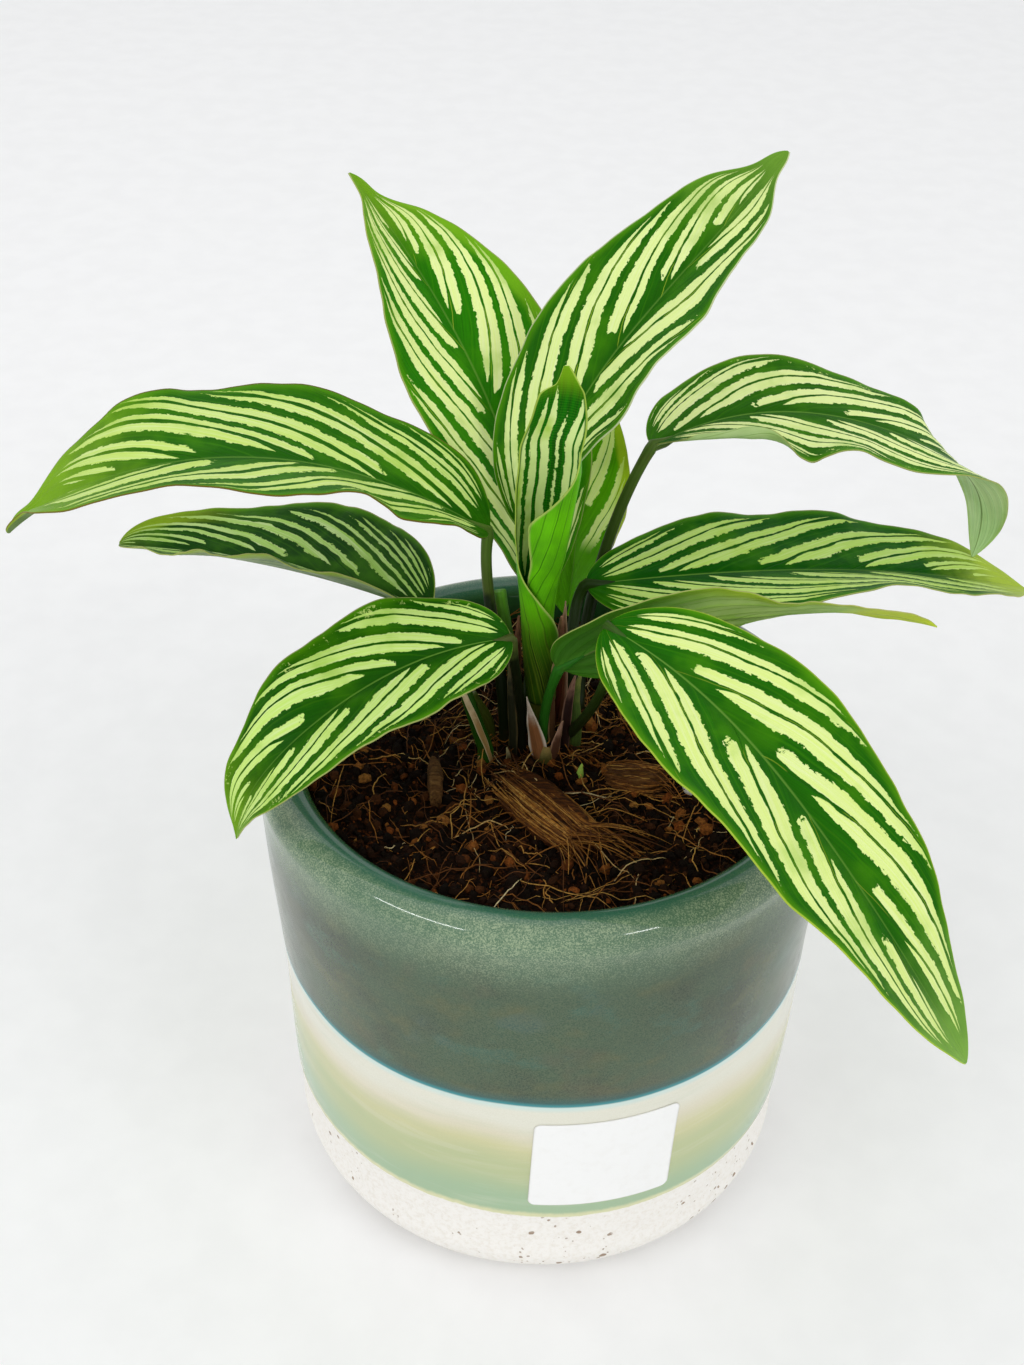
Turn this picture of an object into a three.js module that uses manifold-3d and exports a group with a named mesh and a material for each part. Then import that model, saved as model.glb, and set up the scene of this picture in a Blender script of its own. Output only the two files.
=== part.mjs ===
// A potted calathea: a glazed pot of potting mix with eleven striped leaves on stalks.
// Millimetres, +Z up. The origin is the middle of the pot's foot, on the ground.
// The front, where the blank label is, looks along -Y.
import * as THREE from 'three';
import Module from 'manifold-3d';
import { mergeVertices } from 'three/addons/utils/BufferGeometryUtils.js';

const wasm = await Module();
wasm.setup();

// ---- driving dimensions --------------------------------------------------------------

const clearance = 0.3;

const potHeight = 139.5;
const potTopRadius = 75;
const potGroundRadius = 68;
const potWall = 12;
const potFloor = 9;
const lipHeight = 6.2;
const footRoundWidth = 19;
const footRoundHeight = 15.5;
const potSegments = 44;

const soilLevel = 130;
const soilRoughness = 1.3;
const crownHeight = 2.5;
const stalkDepth = 15;
const stalkRise = 4;

const bladeThickness = 0.7;
const scaleThickness = 0.7;
const bladeRows = 17;
const bladeColumns = 4;
const stalkSides = 6;
const neckBend = 0.25;

// Each leaf: its foot in the soil, the place where stalk and blade meet, and the lie of
// the blade in degrees, given at equal steps from the base to the tip. Heading is turned
// from +X towards +Y, pitch is up, a positive roll lifts the left half. A fold lifts a
// half from the midrib, a curl bends it further towards its edge, and a wave runs along it.
const leaves = [
  {
    name: 'leaf_back_left', foot: [-5.5, 14], base: [-3, 35, 156],
    heading: [119, 128, 142], pitch: [75, 44, 36], roll: [25, -1, 17],
    length: 124, width: 49, belly: 0.45,
    leftFold: [23, 14, 19], rightFold: [14, 21, 12],
    leftWave: [0.6, 3, 0.1], rightWave: [0.7, 2.5, 0.4],
    footRadius: 2.2, neckRadius: 1.7,
  },
  {
    name: 'leaf_back_right', foot: [0.5, 13.5], base: [-6, 26, 181],
    heading: [42, 32, 26], pitch: [77, 43, 45], roll: [-10, -2, 8],
    length: 114, width: 49, belly: 0.44,
    leftFold: [21, 17, 18], rightFold: [23, 17, 16],
    leftWave: [0.6, 2.5, 0], rightWave: [1.2, 4, 0.35],
    footRadius: 2.2, neckRadius: 1.7,
  },
  {
    name: 'leaf_left_high', foot: [-11.2, 3.2], base: [-16, 13, 190],
    heading: [184, 203, 172], pitch: [37, 14, -46], roll: [-11, -1, 1],
    length: 125, width: 55, belly: 0.45,
    leftFold: [23, 14, 22], rightFold: [23, 10, 21],
    leftWave: [1.6, 3.6, 0.85], rightWave: [1.3, 3.2, 0.05],
    footRadius: 1.9, neckRadius: 1.6, neckPitch: 100,
  },
  {
    name: 'leaf_left_low', foot: [-16, -1.8], base: [-30.1, 7.4, 170.1],
    heading: [141, 150, 184], pitch: [-6, -8, 5.5], roll: [-5, 3.5, 8],
    length: 97.2, width: 49.4, belly: 0.5,
    leftFold: [48, 33, 20], rightFold: [31, 16.5, 14],
    leftWave: [1, 3.9, 0.7], rightWave: [1.2, 2.1, 0.2],
    footRadius: 2.9, neckRadius: 1.5, neckPitch: 45, lean: [-0.3, 0],
  },
  {
    name: 'leaf_front_left', foot: [-6.9, 1.2], base: [-10, -6, 172],
    heading: [205, 216, 180], pitch: [10, -17, -84], roll: [-21, -9, -27],
    length: 92, width: 37, belly: 0.39,
    leftFold: [10, 14, 11], rightFold: [17, 12, 19],
    leftWave: [1, 3, 0.6], rightWave: [1.2, 3.5, 0.2],
    footRadius: 1.5, neckRadius: 1.4, neckPitch: 85,
  },
  {
    name: 'leaf_right_arch', foot: [8, 18], base: [25.7, 51.7, 192.8],
    heading: [36, 20, -12, 12, 36], pitch: [10, -3, -10, -45, -109], roll: [-15, 9, -1, -8, -15],
    length: 126, width: 45.1, belly: 0.39,
    leftFold: [13, 2, 8], rightFold: [14, 4, 12],
    leftWave: [1.2, 3.5, 0.1], rightWave: [1.7, 3.8, 0.45],
    footRadius: 2.1, neckRadius: 1.7, neckPitch: 50, lean: [0.03, 1.6],
  },
  {
    name: 'leaf_right_middle', foot: [6.5, 10.5], base: [9, 28, 165],
    heading: [8, 18, 24], pitch: [4, -11, -24], roll: [11, -5, 4],
    length: 136, width: 52, belly: 0.45,
    leftFold: [-2, 11, 14], rightFold: [-7, 16, 11],
    leftWave: [0.9, 3.5, 0.3], rightWave: [0.9, 3, 0.7],
    footRadius: 2, neckRadius: 1.7, neckPitch: 55,
  },
  {
    name: 'leaf_right_turned', foot: [-1.6, 0.6], base: [2, -3, 161],
    heading: [-7, 18, 10, 12], pitch: [47, -2, -3, -27], roll: [-74, -59, -38, -42],
    length: 103, width: 41, belly: 0.36,
    leftFold: [-8, 0, 3], rightFold: [-10, -1, 4],
    leftWave: [0.5, 2, 0], rightWave: [0.8, 3, 0.3],
    footRadius: 1.7, neckRadius: 1.4, neckPitch: 70,
  },
  {
    name: 'leaf_front_right', foot: [5, 4.5], base: [12, -17, 184],
    heading: [-45, -53, -40], pitch: [2, -23, -50], roll: [14, -6, -13],
    length: 130, width: 50, belly: 0.44,
    leftFold: [10, 6, 7], rightFold: [6, 9, 9],
    leftWave: [0.7, 3, 0.2], rightWave: [0.9, 3.5, 0.6],
    footRadius: 1.7, neckRadius: 1.4, neckPitch: 112, lean: [0.3, -0.75],
  },
  {
    name: 'leaf_back_young', foot: [3.5, 21], base: [5.2, 49.9, 139.6],
    heading: [73, 84, 87], pitch: [69, 59, 63], roll: [-45, -13, 12],
    length: 66, width: 28.3, belly: 0.46,
    leftFold: [13, 5, 6], rightFold: [23, 6, 4],
    leftWave: [0.4, 2, 0], rightWave: [0.5, 2.5, 0.4],
    footRadius: 1.7, neckRadius: 1.3,
  },
];

// The youngest leaf is still rolled up. Each ring of it has a height, a middle and a
// radius, and reaches from its left edge round the back to its right edge, in degrees
// from the back, so that the right half lies round the front and the left half over it.
const rolledLeaf = {
  name: 'leaf_rolled', foot: [-2.6, 6.8], footRadius: 2.4, thickness: 0.6, layerGap: 1.5,
  stalkTop: [-2.6, 6, 151], columns: 15,
  rings: [
    { z: 145, middle: [-2.4, 6.2], radius: 2.8, left: -290, right: 165 },
    { z: 155, middle: [-3, 5.6], radius: 3.1, left: -282, right: 190 },
    { z: 165, middle: [-3.3, 5], radius: 3.6, left: -268, right: 225 },
    { z: 172, middle: [-3.4, 4.6], radius: 3.9, left: -230, right: 240 },
    { z: 179, middle: [-3.4, 4.2], radius: 4.4, left: -180, right: 235 },
    { z: 185, middle: [-3.2, 3.8], radius: 5.1, left: -132, right: 225 },
    { z: 190, middle: [-2.9, 3.4], radius: 5.8, left: -96, right: 216 },
    { z: 201, middle: [-2.6, 2.6], radius: 6.7, left: -84, right: 222 },
    { z: 208, middle: [-2.2, 2], radius: 7.1, left: -78, right: 172 },
    { z: 214, middle: [-1.8, 1.4], radius: 7.4, left: -72, right: 128 },
    { z: 219, middle: [-1.7, 1], radius: 7.3, left: -66, right: 92 },
    { z: 226, middle: [0.1, 0.1], radius: 7.8, left: -54, right: 55 },
    { z: 232, middle: [0.9, -0.7], radius: 7.7, left: -44, right: 39 },
    { z: 234, middle: [1, -1], radius: 7.5, left: -15, right: 30 },
    { z: 239, middle: [1, -1.6], radius: 7, left: -3, right: 7 },
  ],
};

// Stems that were cut off, and dry scales round the crown: foot, top, radius at each end.
const cutStems = [
  { name: 'cut_stem_back', foot: [-8.2, 9.8], top: [-13, 12.5, 173], footRadius: 1.7, topRadius: 1.6 },
  { name: 'cut_stem_left', foot: [-15.2, 5.4], top: [-19.9, 6, 145.5], footRadius: 1.7, topRadius: 1.5 },
];
const scales = [
  {
    name: 'dry_scale_front', base: [-1.2, -4.6, 127], heading: [156, 156, 156], pitch: [79, 78, 78],
    roll: [108, 108, 108], length: 25.2, width: 5.4, belly: 0.3, leftFold: [40, 30, 10], rightFold: [40, 30, 10],
  },
  {
    name: 'dry_scale_back', base: [2.2, 8.6, 127], heading: [60, 70, 80], pitch: [86, 86, 82],
    roll: [0, 0, 0], length: 44, width: 5, belly: 0.35, leftFold: [30, 20, 10], rightFold: [30, 20, 10],
  },
];

// Lumps on the soil: middle on the ground plan, size, turn and tilt in degrees.
const chips = [
  { name: 'husk_front', middle: [-0.5, -23, 131.5], size: [40, 16, 7], turn: -50, tilt: 8, seed: 3 },
  { name: 'husk_right', middle: [22, -9.5, 131.5], size: [17, 12, 7], turn: -8, tilt: -5, seed: 8 },
  { name: 'wood_chip', middle: [-28.5, -12.5, 132], size: [4.5, 17, 4], turn: 4, tilt: 8, seed: 5 },
];
const chipRoughness = 0.28;
const grain = { name: 'perlite_grain', middle: [36, -13, 132], radius: 2.5 };
const sprout = { name: 'sprout', foot: [7.8, -9], height: 8, radius: 1.5 };

// Fibres of the potting mix that stand out of it in low loops.
const fibreCount = 11;
const fibreRadius = 0.55;

const label = { width: 38, height: 34.4, corner: 2, thickness: 0.4, azimuth: -76.7, z: 54.6, tilt: -1.1 };

const colours = {
  glaze: '#6c7f66', soil: '#3a2418', blade: '#3f8a22', dryScale: '#cbb892', cutStem: '#6b7a3a',
  husk: '#6b4226', wood: '#7a5534', perlite: '#e9e7e0', sprout: '#8fbf4a', label: '#f2f2f0',
};

// ---- helpers -------------------------------------------------------------------------

const radians = THREE.MathUtils.degToRad;
const vector = (x, y, z) => new THREE.Vector3(x, y, z);

// Repeatable number from 0 to 1 for a whole number.
function chance(n) {
  const x = Math.sin(n * 127.1 + 311.7) * 43758.5453;
  return x - Math.floor(x);
}

// Smooth value at a fraction s of the way along equally spaced stations.
function along(stations, s) {
  const last = stations.length - 1;
  const x = THREE.MathUtils.clamp(s, 0, 1) * last;
  const i = Math.min(Math.floor(x), last - 1);
  const f = x - i;
  const before = i > 0 ? stations[i - 1] : 2 * stations[0] - stations[1];
  const a = stations[i];
  const b = stations[i + 1];
  const after = i + 2 <= last ? stations[i + 2] : 2 * stations[last] - stations[last - 1];
  const square = 2 * before - 5 * a + 4 * b - after;
  const cube = 3 * a - 3 * b + after - before;
  return 0.5 * (2 * a + (b - before) * f + square * f * f + cube * f * f * f);
}

function geometryOf(points, triangles) {
  const geometry = new THREE.BufferGeometry();
  geometry.setAttribute('position', new THREE.Float32BufferAttribute(points.flatMap((p) => [p.x, p.y, p.z]), 3));
  geometry.setIndex(triangles.flat());
  return geometry;
}

// A solid from a closed geometry: shared corners are merged, and it is turned outward.
function solid(source) {
  const bare = source.clone();
  bare.deleteAttribute('normal');
  bare.deleteAttribute('uv');
  const merged = mergeVertices(bare, 1e-4);
  const position = merged.getAttribute('position');
  const index = merged.getIndex().array;
  const corners = [];
  for (let i = 0; i < index.length; i += 3) {
    const [a, b, c] = [index[i], index[i + 1], index[i + 2]];
    if (a !== b && b !== c && a !== c) corners.push([a, b, c]);
  }
  const build = (triangles) => new wasm.Manifold(new wasm.Mesh({
    numProp: 3,
    vertProperties: new Float32Array(position.array),
    triVerts: new Uint32Array(triangles.flat()),
  }));
  const first = build(corners);
  return first.volume() > 0 ? first : build(corners.map(([a, b, c]) => [a, c, b]));
}

function meshOf(name, body, colour, roughness) {
  const { vertProperties, triVerts } = body.getMesh();
  const geometry = new THREE.BufferGeometry();
  geometry.setAttribute('position', new THREE.BufferAttribute(new Float32Array(vertProperties), 3));
  geometry.setIndex(new THREE.BufferAttribute(new Uint32Array(triVerts), 1));
  geometry.computeVertexNormals();
  const material = new THREE.MeshStandardMaterial({ color: colour, roughness, metalness: 0 });
  const mesh = new THREE.Mesh(geometry, material);
  mesh.name = name;
  return mesh;
}

// A closed tube through the points, with a radius at each of them.
function tube(points, radii, sides) {
  const rings = [];
  let across = vector(1, 0, 0);
  points.forEach((point, i) => {
    const ahead = points[Math.min(i + 1, points.length - 1)].clone();
    const direction = ahead.sub(points[Math.max(i - 1, 0)]).normalize();
    across = across.clone().addScaledVector(direction, -across.dot(direction)).normalize();
    const up = direction.clone().cross(across);
    for (let k = 0; k < sides; k += 1) {
      const angle = (k / sides) * 2 * Math.PI;
      const out = across.clone().multiplyScalar(Math.cos(angle)).addScaledVector(up, Math.sin(angle));
      rings.push(point.clone().addScaledVector(out, radii[i]));
    }
  });
  const triangles = [];
  const last = (points.length - 1) * sides;
  for (let i = 0; i < points.length - 1; i += 1) {
    for (let k = 0; k < sides; k += 1) {
      const a = i * sides + k;
      const b = i * sides + ((k + 1) % sides);
      triangles.push([a, b, b + sides], [a, b + sides, a + sides]);
    }
  }
  for (let k = 1; k < sides - 1; k += 1) {
    triangles.push([0, k + 1, k], [last, last + k, last + k + 1]);
  }
  return solid(geometryOf(rings, triangles));
}

// A thin closed skin from a grid of points: each point gives an upper and a lower one.
// The first and last rows may be a single point, where the skin ends in a tip.
function skin(rows) {
  const points = [];
  const upper = rows.map((row) => row.map((cell) => points.push(cell.upper) - 1));
  const lower = rows.map((row) => row.map((cell) => points.push(cell.lower) - 1));
  const triangles = [];
  const sheet = (a, b, flip) => {
    const add = (p, q, r) => triangles.push(flip ? [p, r, q] : [p, q, r]);
    const count = Math.max(a.length, b.length);
    for (let j = 0; j < count - 1; j += 1) {
      if (a.length === 1) add(a[0], b[j + 1], b[j]);
      else if (b.length === 1) add(a[j], a[j + 1], b[0]);
      else {
        add(a[j], a[j + 1], b[j]);
        add(a[j + 1], b[j + 1], b[j]);
      }
    }
  };
  const wall = (a, b, c, d) => triangles.push([a, b, c], [b, d, c]);
  for (let i = 0; i < rows.length - 1; i += 1) {
    sheet(upper[i], upper[i + 1], false);
    sheet(lower[i], lower[i + 1], true);
    wall(upper[i][0], upper[i + 1][0], lower[i][0], lower[i + 1][0]);
    wall(lower[i].at(-1), lower[i + 1].at(-1), upper[i].at(-1), upper[i + 1].at(-1));
  }
  for (let j = 0; j < rows[0].length - 1; j += 1) {
    wall(lower[0][j], lower[0][j + 1], upper[0][j], upper[0][j + 1]);
  }
  for (let j = 0; j < rows.at(-1).length - 1; j += 1) {
    wall(upper.at(-1)[j], upper.at(-1)[j + 1], lower.at(-1)[j], lower.at(-1)[j + 1]);
  }
  return solid(geometryOf(points, triangles));
}

// ---- leaves --------------------------------------------------------------------------

function directionAt(leaf, s) {
  const heading = radians(along(leaf.heading, s));
  const pitch = radians(along(leaf.pitch, s));
  return vector(
    Math.cos(pitch) * Math.cos(heading),
    Math.cos(pitch) * Math.sin(heading),
    Math.sin(pitch),
  );
}

// Direction, left side and upper side of the blade.
function frameAt(leaf, s) {
  const forward = directionAt(leaf, s);
  const heading = radians(along(leaf.heading, s));
  const roll = radians(along(leaf.roll, s));
  const level = vector(-Math.sin(heading), Math.cos(heading), 0);
  const above = forward.clone().cross(level);
  const left = level.clone().multiplyScalar(Math.cos(roll)).addScaledVector(above, Math.sin(roll));
  const up = above.clone().multiplyScalar(Math.cos(roll)).addScaledVector(level, -Math.sin(roll));
  return { forward, left, up };
}

// The point of the midrib at s, added up from the base in short steps.
function midribAt(leaf, s) {
  const steps = 60;
  const point = vector(...leaf.base);
  const step = (s * leaf.length) / steps;
  for (let k = 0; k < steps; k += 1) {
    point.addScaledVector(directionAt(leaf, ((k + 0.5) / steps) * s), step);
  }
  return point;
}

// Half width as a share of the widest: round at the base, tapering to the tip.
function outline(s, belly) {
  const basePower = 0.6;
  const tipPower = (basePower * (1 - belly)) / belly;
  const widest = belly ** basePower * (1 - belly) ** tipPower;
  return (s ** basePower * (1 - s) ** tipPower) / widest;
}

// A point of the blade: side 1 is the left half, -1 the right half, t runs to the edge.
function bladePoint(leaf, s, side, t) {
  const { left, up } = frameAt(leaf, s);
  const half = (outline(s, leaf.belly) * leaf.width) / 2;
  const fold = along(side > 0 ? leaf.leftFold : leaf.rightFold, s);
  const curls = (side > 0 ? leaf.leftCurl : leaf.rightCurl) ?? [0, 0];
  const [height, count, phase] = (side > 0 ? leaf.leftWave : leaf.rightWave) ?? [0, 0, 0];
  const curl = along(curls, s);
  const steps = 8;
  let out = 0;
  let lift = height * Math.sin(2 * Math.PI * (count * s + phase)) * t * t * Math.sqrt(outline(s, leaf.belly));
  for (let k = 0; k < steps; k += 1) {
    const angle = radians(fold + curl * ((k + 0.5) / steps) * t);
    out += (Math.cos(angle) * half * t) / steps;
    lift += (Math.sin(angle) * half * t) / steps;
  }
  return midribAt(leaf, s).addScaledVector(left, side * out).addScaledVector(up, lift);
}

// Rows lie closer together towards the base and the tip.
function rowPlace(i, count) {
  const u = i / (count - 1);
  return u - 0.11 * Math.sin(2 * Math.PI * u);
}

function blade(leaf, thickness, ribDepth, rowCount, columns) {
  const half = thickness / 2;
  const cellAt = (s, column) => {
    const side = column <= columns ? 1 : -1;
    const t = Math.abs(column - columns) / columns;
    const small = 0.004;
    const point = bladePoint(leaf, s, side, t);
    const ahead = bladePoint(leaf, Math.min(s + small, 1), side, t);
    const lengthwise = ahead.sub(bladePoint(leaf, Math.max(s - small, 0), side, t));
    const leftward = t === 0
      ? bladePoint(leaf, s, 1, 0.1).sub(bladePoint(leaf, s, -1, 0.1))
      : bladePoint(leaf, s, side, t).sub(bladePoint(leaf, s, side, t - 0.1)).multiplyScalar(side);
    const normal = lengthwise.cross(leftward).normalize();
    const rib = t === 0 ? ribDepth * (1 - s) : 0;
    return {
      upper: point.clone().addScaledVector(normal, half),
      lower: point.clone().addScaledVector(normal, -half - rib),
    };
  };
  const tip = (s, direction) => {
    const { up } = frameAt(leaf, s);
    const point = midribAt(leaf, s).addScaledVector(directionAt(leaf, s), direction);
    return [{ upper: point.clone().addScaledVector(up, half), lower: point.clone().addScaledVector(up, -half) }];
  };
  const rows = [tip(0, -0.5)];
  for (let i = 1; i < rowCount - 1; i += 1) {
    const s = rowPlace(i, rowCount);
    rows.push(Array.from({ length: 2 * columns + 1 }, (_, column) => cellAt(s, column)));
  }
  rows.push(tip(1, 0));
  return skin(rows);
}

// The stalk rises from its foot in the soil and bends into the blade at its base.
function stalkPath(foot, base, forward, bend, lean = [0, 0]) {
  const bottom = vector(foot[0], foot[1], soilLevel - stalkDepth);
  const ground = vector(foot[0], foot[1], soilLevel + stalkRise);
  const reach = ground.distanceTo(base);
  const rise = vector(lean[0], lean[1], 1).normalize();
  const curve = new THREE.CubicBezierCurve3(
    ground,
    ground.clone().addScaledVector(rise, reach * 0.4),
    base.clone().addScaledVector(forward, -reach * bend),
    base,
  );
  return [bottom, ...curve.getPoints(8)];
}

function stalk(leaf) {
  const { up } = frameAt(leaf, 0.03);
  const base = vector(...leaf.base);
  const forward = directionAt({ ...leaf, pitch: [leaf.neckPitch ?? leaf.pitch[0], 0] }, 0);
  const path = stalkPath(leaf.foot, base, forward, neckBend, leaf.lean);
  for (const s of [0.03, 0.07]) {
    path.push(midribAt(leaf, s).addScaledVector(up, -leaf.neckRadius * 0.5));
  }
  const radii = path.map((_, i) => {
    if (i >= path.length - 2) return leaf.neckRadius * (i === path.length - 1 ? 0.5 : 0.8);
    const share = Math.min(i / 6, 1);
    return leaf.footRadius + (leaf.neckRadius - leaf.footRadius) * share;
  });
  return tube(path, radii, stalkSides);
}

function grownLeaf(leaf) {
  const body = blade(leaf, bladeThickness, 0.9, bladeRows, bladeColumns).add(stalk(leaf));
  return meshOf(leaf.name, body, colours.blade, 0.45);
}

function rolledLeafBody(leaf) {
  const half = leaf.thickness / 2;
  const rows = leaf.rings.map((ring) => Array.from({ length: leaf.columns }, (_, k) => {
    const turn = ring.left + ((ring.right - ring.left) * k) / (leaf.columns - 1);
    const radius = ring.radius - (leaf.layerGap * turn) / 360;
    const out = vector(Math.sin(radians(turn)), Math.cos(radians(turn)), 0);
    const middle = vector(ring.middle[0], ring.middle[1], ring.z);
    return {
      upper: middle.clone().addScaledVector(out, radius - half),
      lower: middle.clone().addScaledVector(out, radius + half),
    };
  }));
  const top = vector(...leaf.stalkTop);
  const path = stalkPath(leaf.foot, top, vector(0, 0, 1), 0.3);
  return skin(rows).add(tube(path, path.map(() => leaf.footRadius), 8));
}

// ---- cut stems and dry scales ----------------------------------------------------------

function cutStem(stem) {
  const top = vector(...stem.top);
  const ground = vector(stem.foot[0], stem.foot[1], soilLevel + stalkRise);
  const lean = top.clone().sub(ground).normalize();
  const path = stalkPath(stem.foot, top, lean, 0.3);
  const radii = path.map((_, i) => stem.footRadius + ((stem.topRadius - stem.footRadius) * i) / (path.length - 1));
  return tube(path, radii, stalkSides);
}

// The slot that a dry scale stands in: the scale itself, grown by the clearance.
function scaleSeat(scale) {
  const base = vector(...scale.base).addScaledVector(directionAt(scale, 0), -2 * clearance);
  const grown = {
    ...scale, base: base.toArray(), length: scale.length + 4 * clearance, width: scale.width + 6 * clearance,
  };
  return blade(grown, scaleThickness + 3 * clearance, 0, 9, 2);
}

// ---- soil ----------------------------------------------------------------------------

function soilSurface(x, y) {
  const lumps = Math.sin(x * 0.31 + 1.3) * Math.cos(y * 0.27 - 0.6) + 0.7 * Math.sin(x * 0.53 - y * 0.47 + 2);
  const crown = crownHeight * Math.exp(-((x + 2) ** 2 + (y - 7) ** 2) / 420);
  return soilLevel + soilRoughness * lumps * 0.6 + crown;
}

function innerRadius(z) {
  return potGroundRadius + ((potTopRadius - potGroundRadius) * z) / potHeight - potWall;
}

function soilBlock() {
  const rings = 8;
  const segments = 28;
  const top = soilLevel;
  const points = [vector(0, 0, soilSurface(0, 0))];
  const triangles = [];
  const ringAt = (radius, height) => {
    const start = points.length;
    for (let k = 0; k < segments; k += 1) {
      const angle = (k / segments) * 2 * Math.PI;
      const x = radius * Math.cos(angle);
      const y = radius * Math.sin(angle);
      points.push(vector(x, y, height ?? soilSurface(x, y)));
    }
    return start;
  };
  const join = (a, b) => {
    for (let k = 0; k < segments; k += 1) {
      const n = (k + 1) % segments;
      triangles.push([a + k, b + k, b + n], [a + k, b + n, a + n]);
    }
  };
  const rim = innerRadius(top) * Math.cos(Math.PI / potSegments) - clearance;
  let ring = ringAt(rim / rings);
  for (let k = 0; k < segments; k += 1) triangles.push([0, ring + k, ring + ((k + 1) % segments)]);
  for (let r = 2; r <= rings; r += 1) {
    const next = ringAt((rim * r) / rings);
    join(ring, next);
    ring = next;
  }
  const bottom = potFloor + clearance;
  const bottomRadius = innerRadius(bottom) * Math.cos(Math.PI / potSegments) - clearance;
  const floorRing = ringAt(bottomRadius, bottom);
  join(ring, floorRing);
  points.push(vector(0, 0, bottom));
  const middle = points.length - 1;
  for (let k = 0; k < segments; k += 1) {
    triangles.push([middle, floorRing + ((k + 1) % segments), floorRing + k]);
  }
  return solid(geometryOf(points, triangles));
}

// A plain upright hole for a stem, a little wider and deeper than the stem in it.
function stemHole(foot, radius, depth) {
  const sides = 8;
  const height = depth + 12;
  const across = (radius + clearance) / Math.cos(Math.PI / sides);
  const hole = new THREE.CylinderGeometry(across, across, height, sides);
  hole.rotateX(Math.PI / 2);
  hole.translate(foot[0], foot[1], soilLevel - depth - clearance + height / 2);
  return solid(hole);
}

function fibre(n) {
  const angle = chance(n) * 2 * Math.PI;
  const out = 24 + 30 * chance(n + 40);
  const x = out * Math.cos(angle);
  const y = out * Math.sin(angle);
  const reach = 7 + 6 * chance(n + 80);
  const turn = chance(n + 120) * Math.PI;
  const rise = 2.5 + 2.5 * chance(n + 160);
  const steps = 6;
  const points = Array.from({ length: steps + 1 }, (_, k) => {
    const u = (k / steps) * 2 - 1;
    const px = x + reach * u * Math.cos(turn) + 2 * u * u * Math.sin(turn);
    const py = y + reach * u * Math.sin(turn) - 2 * u * u * Math.cos(turn);
    return vector(px, py, soilSurface(x, y) + rise * (1 - u * u) - 2.2 * u * u);
  });
  return tube(points, points.map(() => fibreRadius), 4);
}

// ---- lumps on the soil -----------------------------------------------------------------

function placed(geometry, chip) {
  geometry.rotateX(radians(chip.tilt));
  geometry.rotateZ(radians(chip.turn));
  geometry.translate(...chip.middle);
  return geometry;
}

// A rough chip: the corners of a block pulled in by chance, never out.
function chipBody(chip) {
  const block = new THREE.BoxGeometry(...chip.size, 5, 3, 2);
  block.deleteAttribute('normal');
  block.deleteAttribute('uv');
  const merged = mergeVertices(block, 1e-4);
  const position = merged.getAttribute('position');
  for (let i = 0; i < position.count; i += 1) {
    const end = (2 * position.getX(i)) / chip.size[0];
    const taper = 1 - 0.35 * end * end;
    const pull = (k) => 1 - chipRoughness * chance(chip.seed * 100 + i * 3 + k);
    position.setXYZ(
      i,
      position.getX(i) * pull(0),
      position.getY(i) * pull(1) * taper,
      position.getZ(i) * pull(2) * taper,
    );
  }
  return solid(placed(merged, chip));
}

function chipSeat(chip) {
  const seat = new THREE.BoxGeometry(...chip.size.map((side) => side + 2 * clearance));
  return solid(placed(seat, chip));
}

function ball(middle, radius, detail) {
  const geometry = new THREE.IcosahedronGeometry(radius, detail);
  geometry.translate(...middle);
  return solid(geometry);
}

// ---- pot and label ---------------------------------------------------------------------

function outerRadius(z) {
  return innerRadius(z) + potWall;
}

function potBody() {
  const profile = [new THREE.Vector2(0, 0)];
  const footTop = outerRadius(footRoundHeight);
  for (let k = 0; k <= 4; k += 1) {
    const angle = (k / 4) * (Math.PI / 2);
    profile.push(new THREE.Vector2(
      footTop - footRoundWidth * (1 - Math.sin(angle)),
      footRoundHeight * (1 - Math.cos(angle)),
    ));
  }
  const lipBottom = potHeight - lipHeight;
  const lipMiddle = outerRadius(lipBottom) - potWall / 2;
  for (let k = 0; k <= 6; k += 1) {
    const angle = (k / 6) * Math.PI;
    profile.push(new THREE.Vector2(
      lipMiddle + (potWall / 2) * Math.cos(angle),
      lipBottom + lipHeight * Math.sin(angle),
    ));
  }
  profile.push(new THREE.Vector2(innerRadius(potFloor), potFloor));
  profile.push(new THREE.Vector2(0, potFloor));
  const lathe = new THREE.LatheGeometry(profile, potSegments);
  lathe.rotateX(Math.PI / 2);
  return solid(lathe);
}

// A thin blank sticker with round corners that follows the pot's round side.
function labelBody() {
  const columns = 9;
  const tilt = radians(label.tilt);
  const half = label.height / 2;
  const upper = [half / 3, half - label.corner, half - 0.3 * label.corner, half];
  const grid = [];
  for (const v of [...upper.map((level) => -level).reverse(), ...upper]) {
    const fromEnd = half - Math.abs(v);
    const dip = Math.max(label.corner - fromEnd, 0);
    const inset = label.corner - Math.sqrt(label.corner ** 2 - dip ** 2);
    const row = [];
    for (let j = 0; j < columns; j += 1) {
      const u = (j / (columns - 1) - 0.5) * (label.width - 2 * inset);
      const across = u * Math.cos(tilt) - v * Math.sin(tilt);
      const z = label.z + u * Math.sin(tilt) + v * Math.cos(tilt);
      const radius = outerRadius(z) + clearance;
      const angle = radians(label.azimuth) + across / radius;
      const out = vector(Math.cos(angle), Math.sin(angle), 0);
      const inner = out.clone().multiplyScalar(radius).add(vector(0, 0, z));
      row.push({ lower: inner, upper: inner.clone().addScaledVector(out, label.thickness) });
    }
    grid.push(row);
  }
  return skin(grid);
}

// ---- the whole plant -------------------------------------------------------------------

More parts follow.
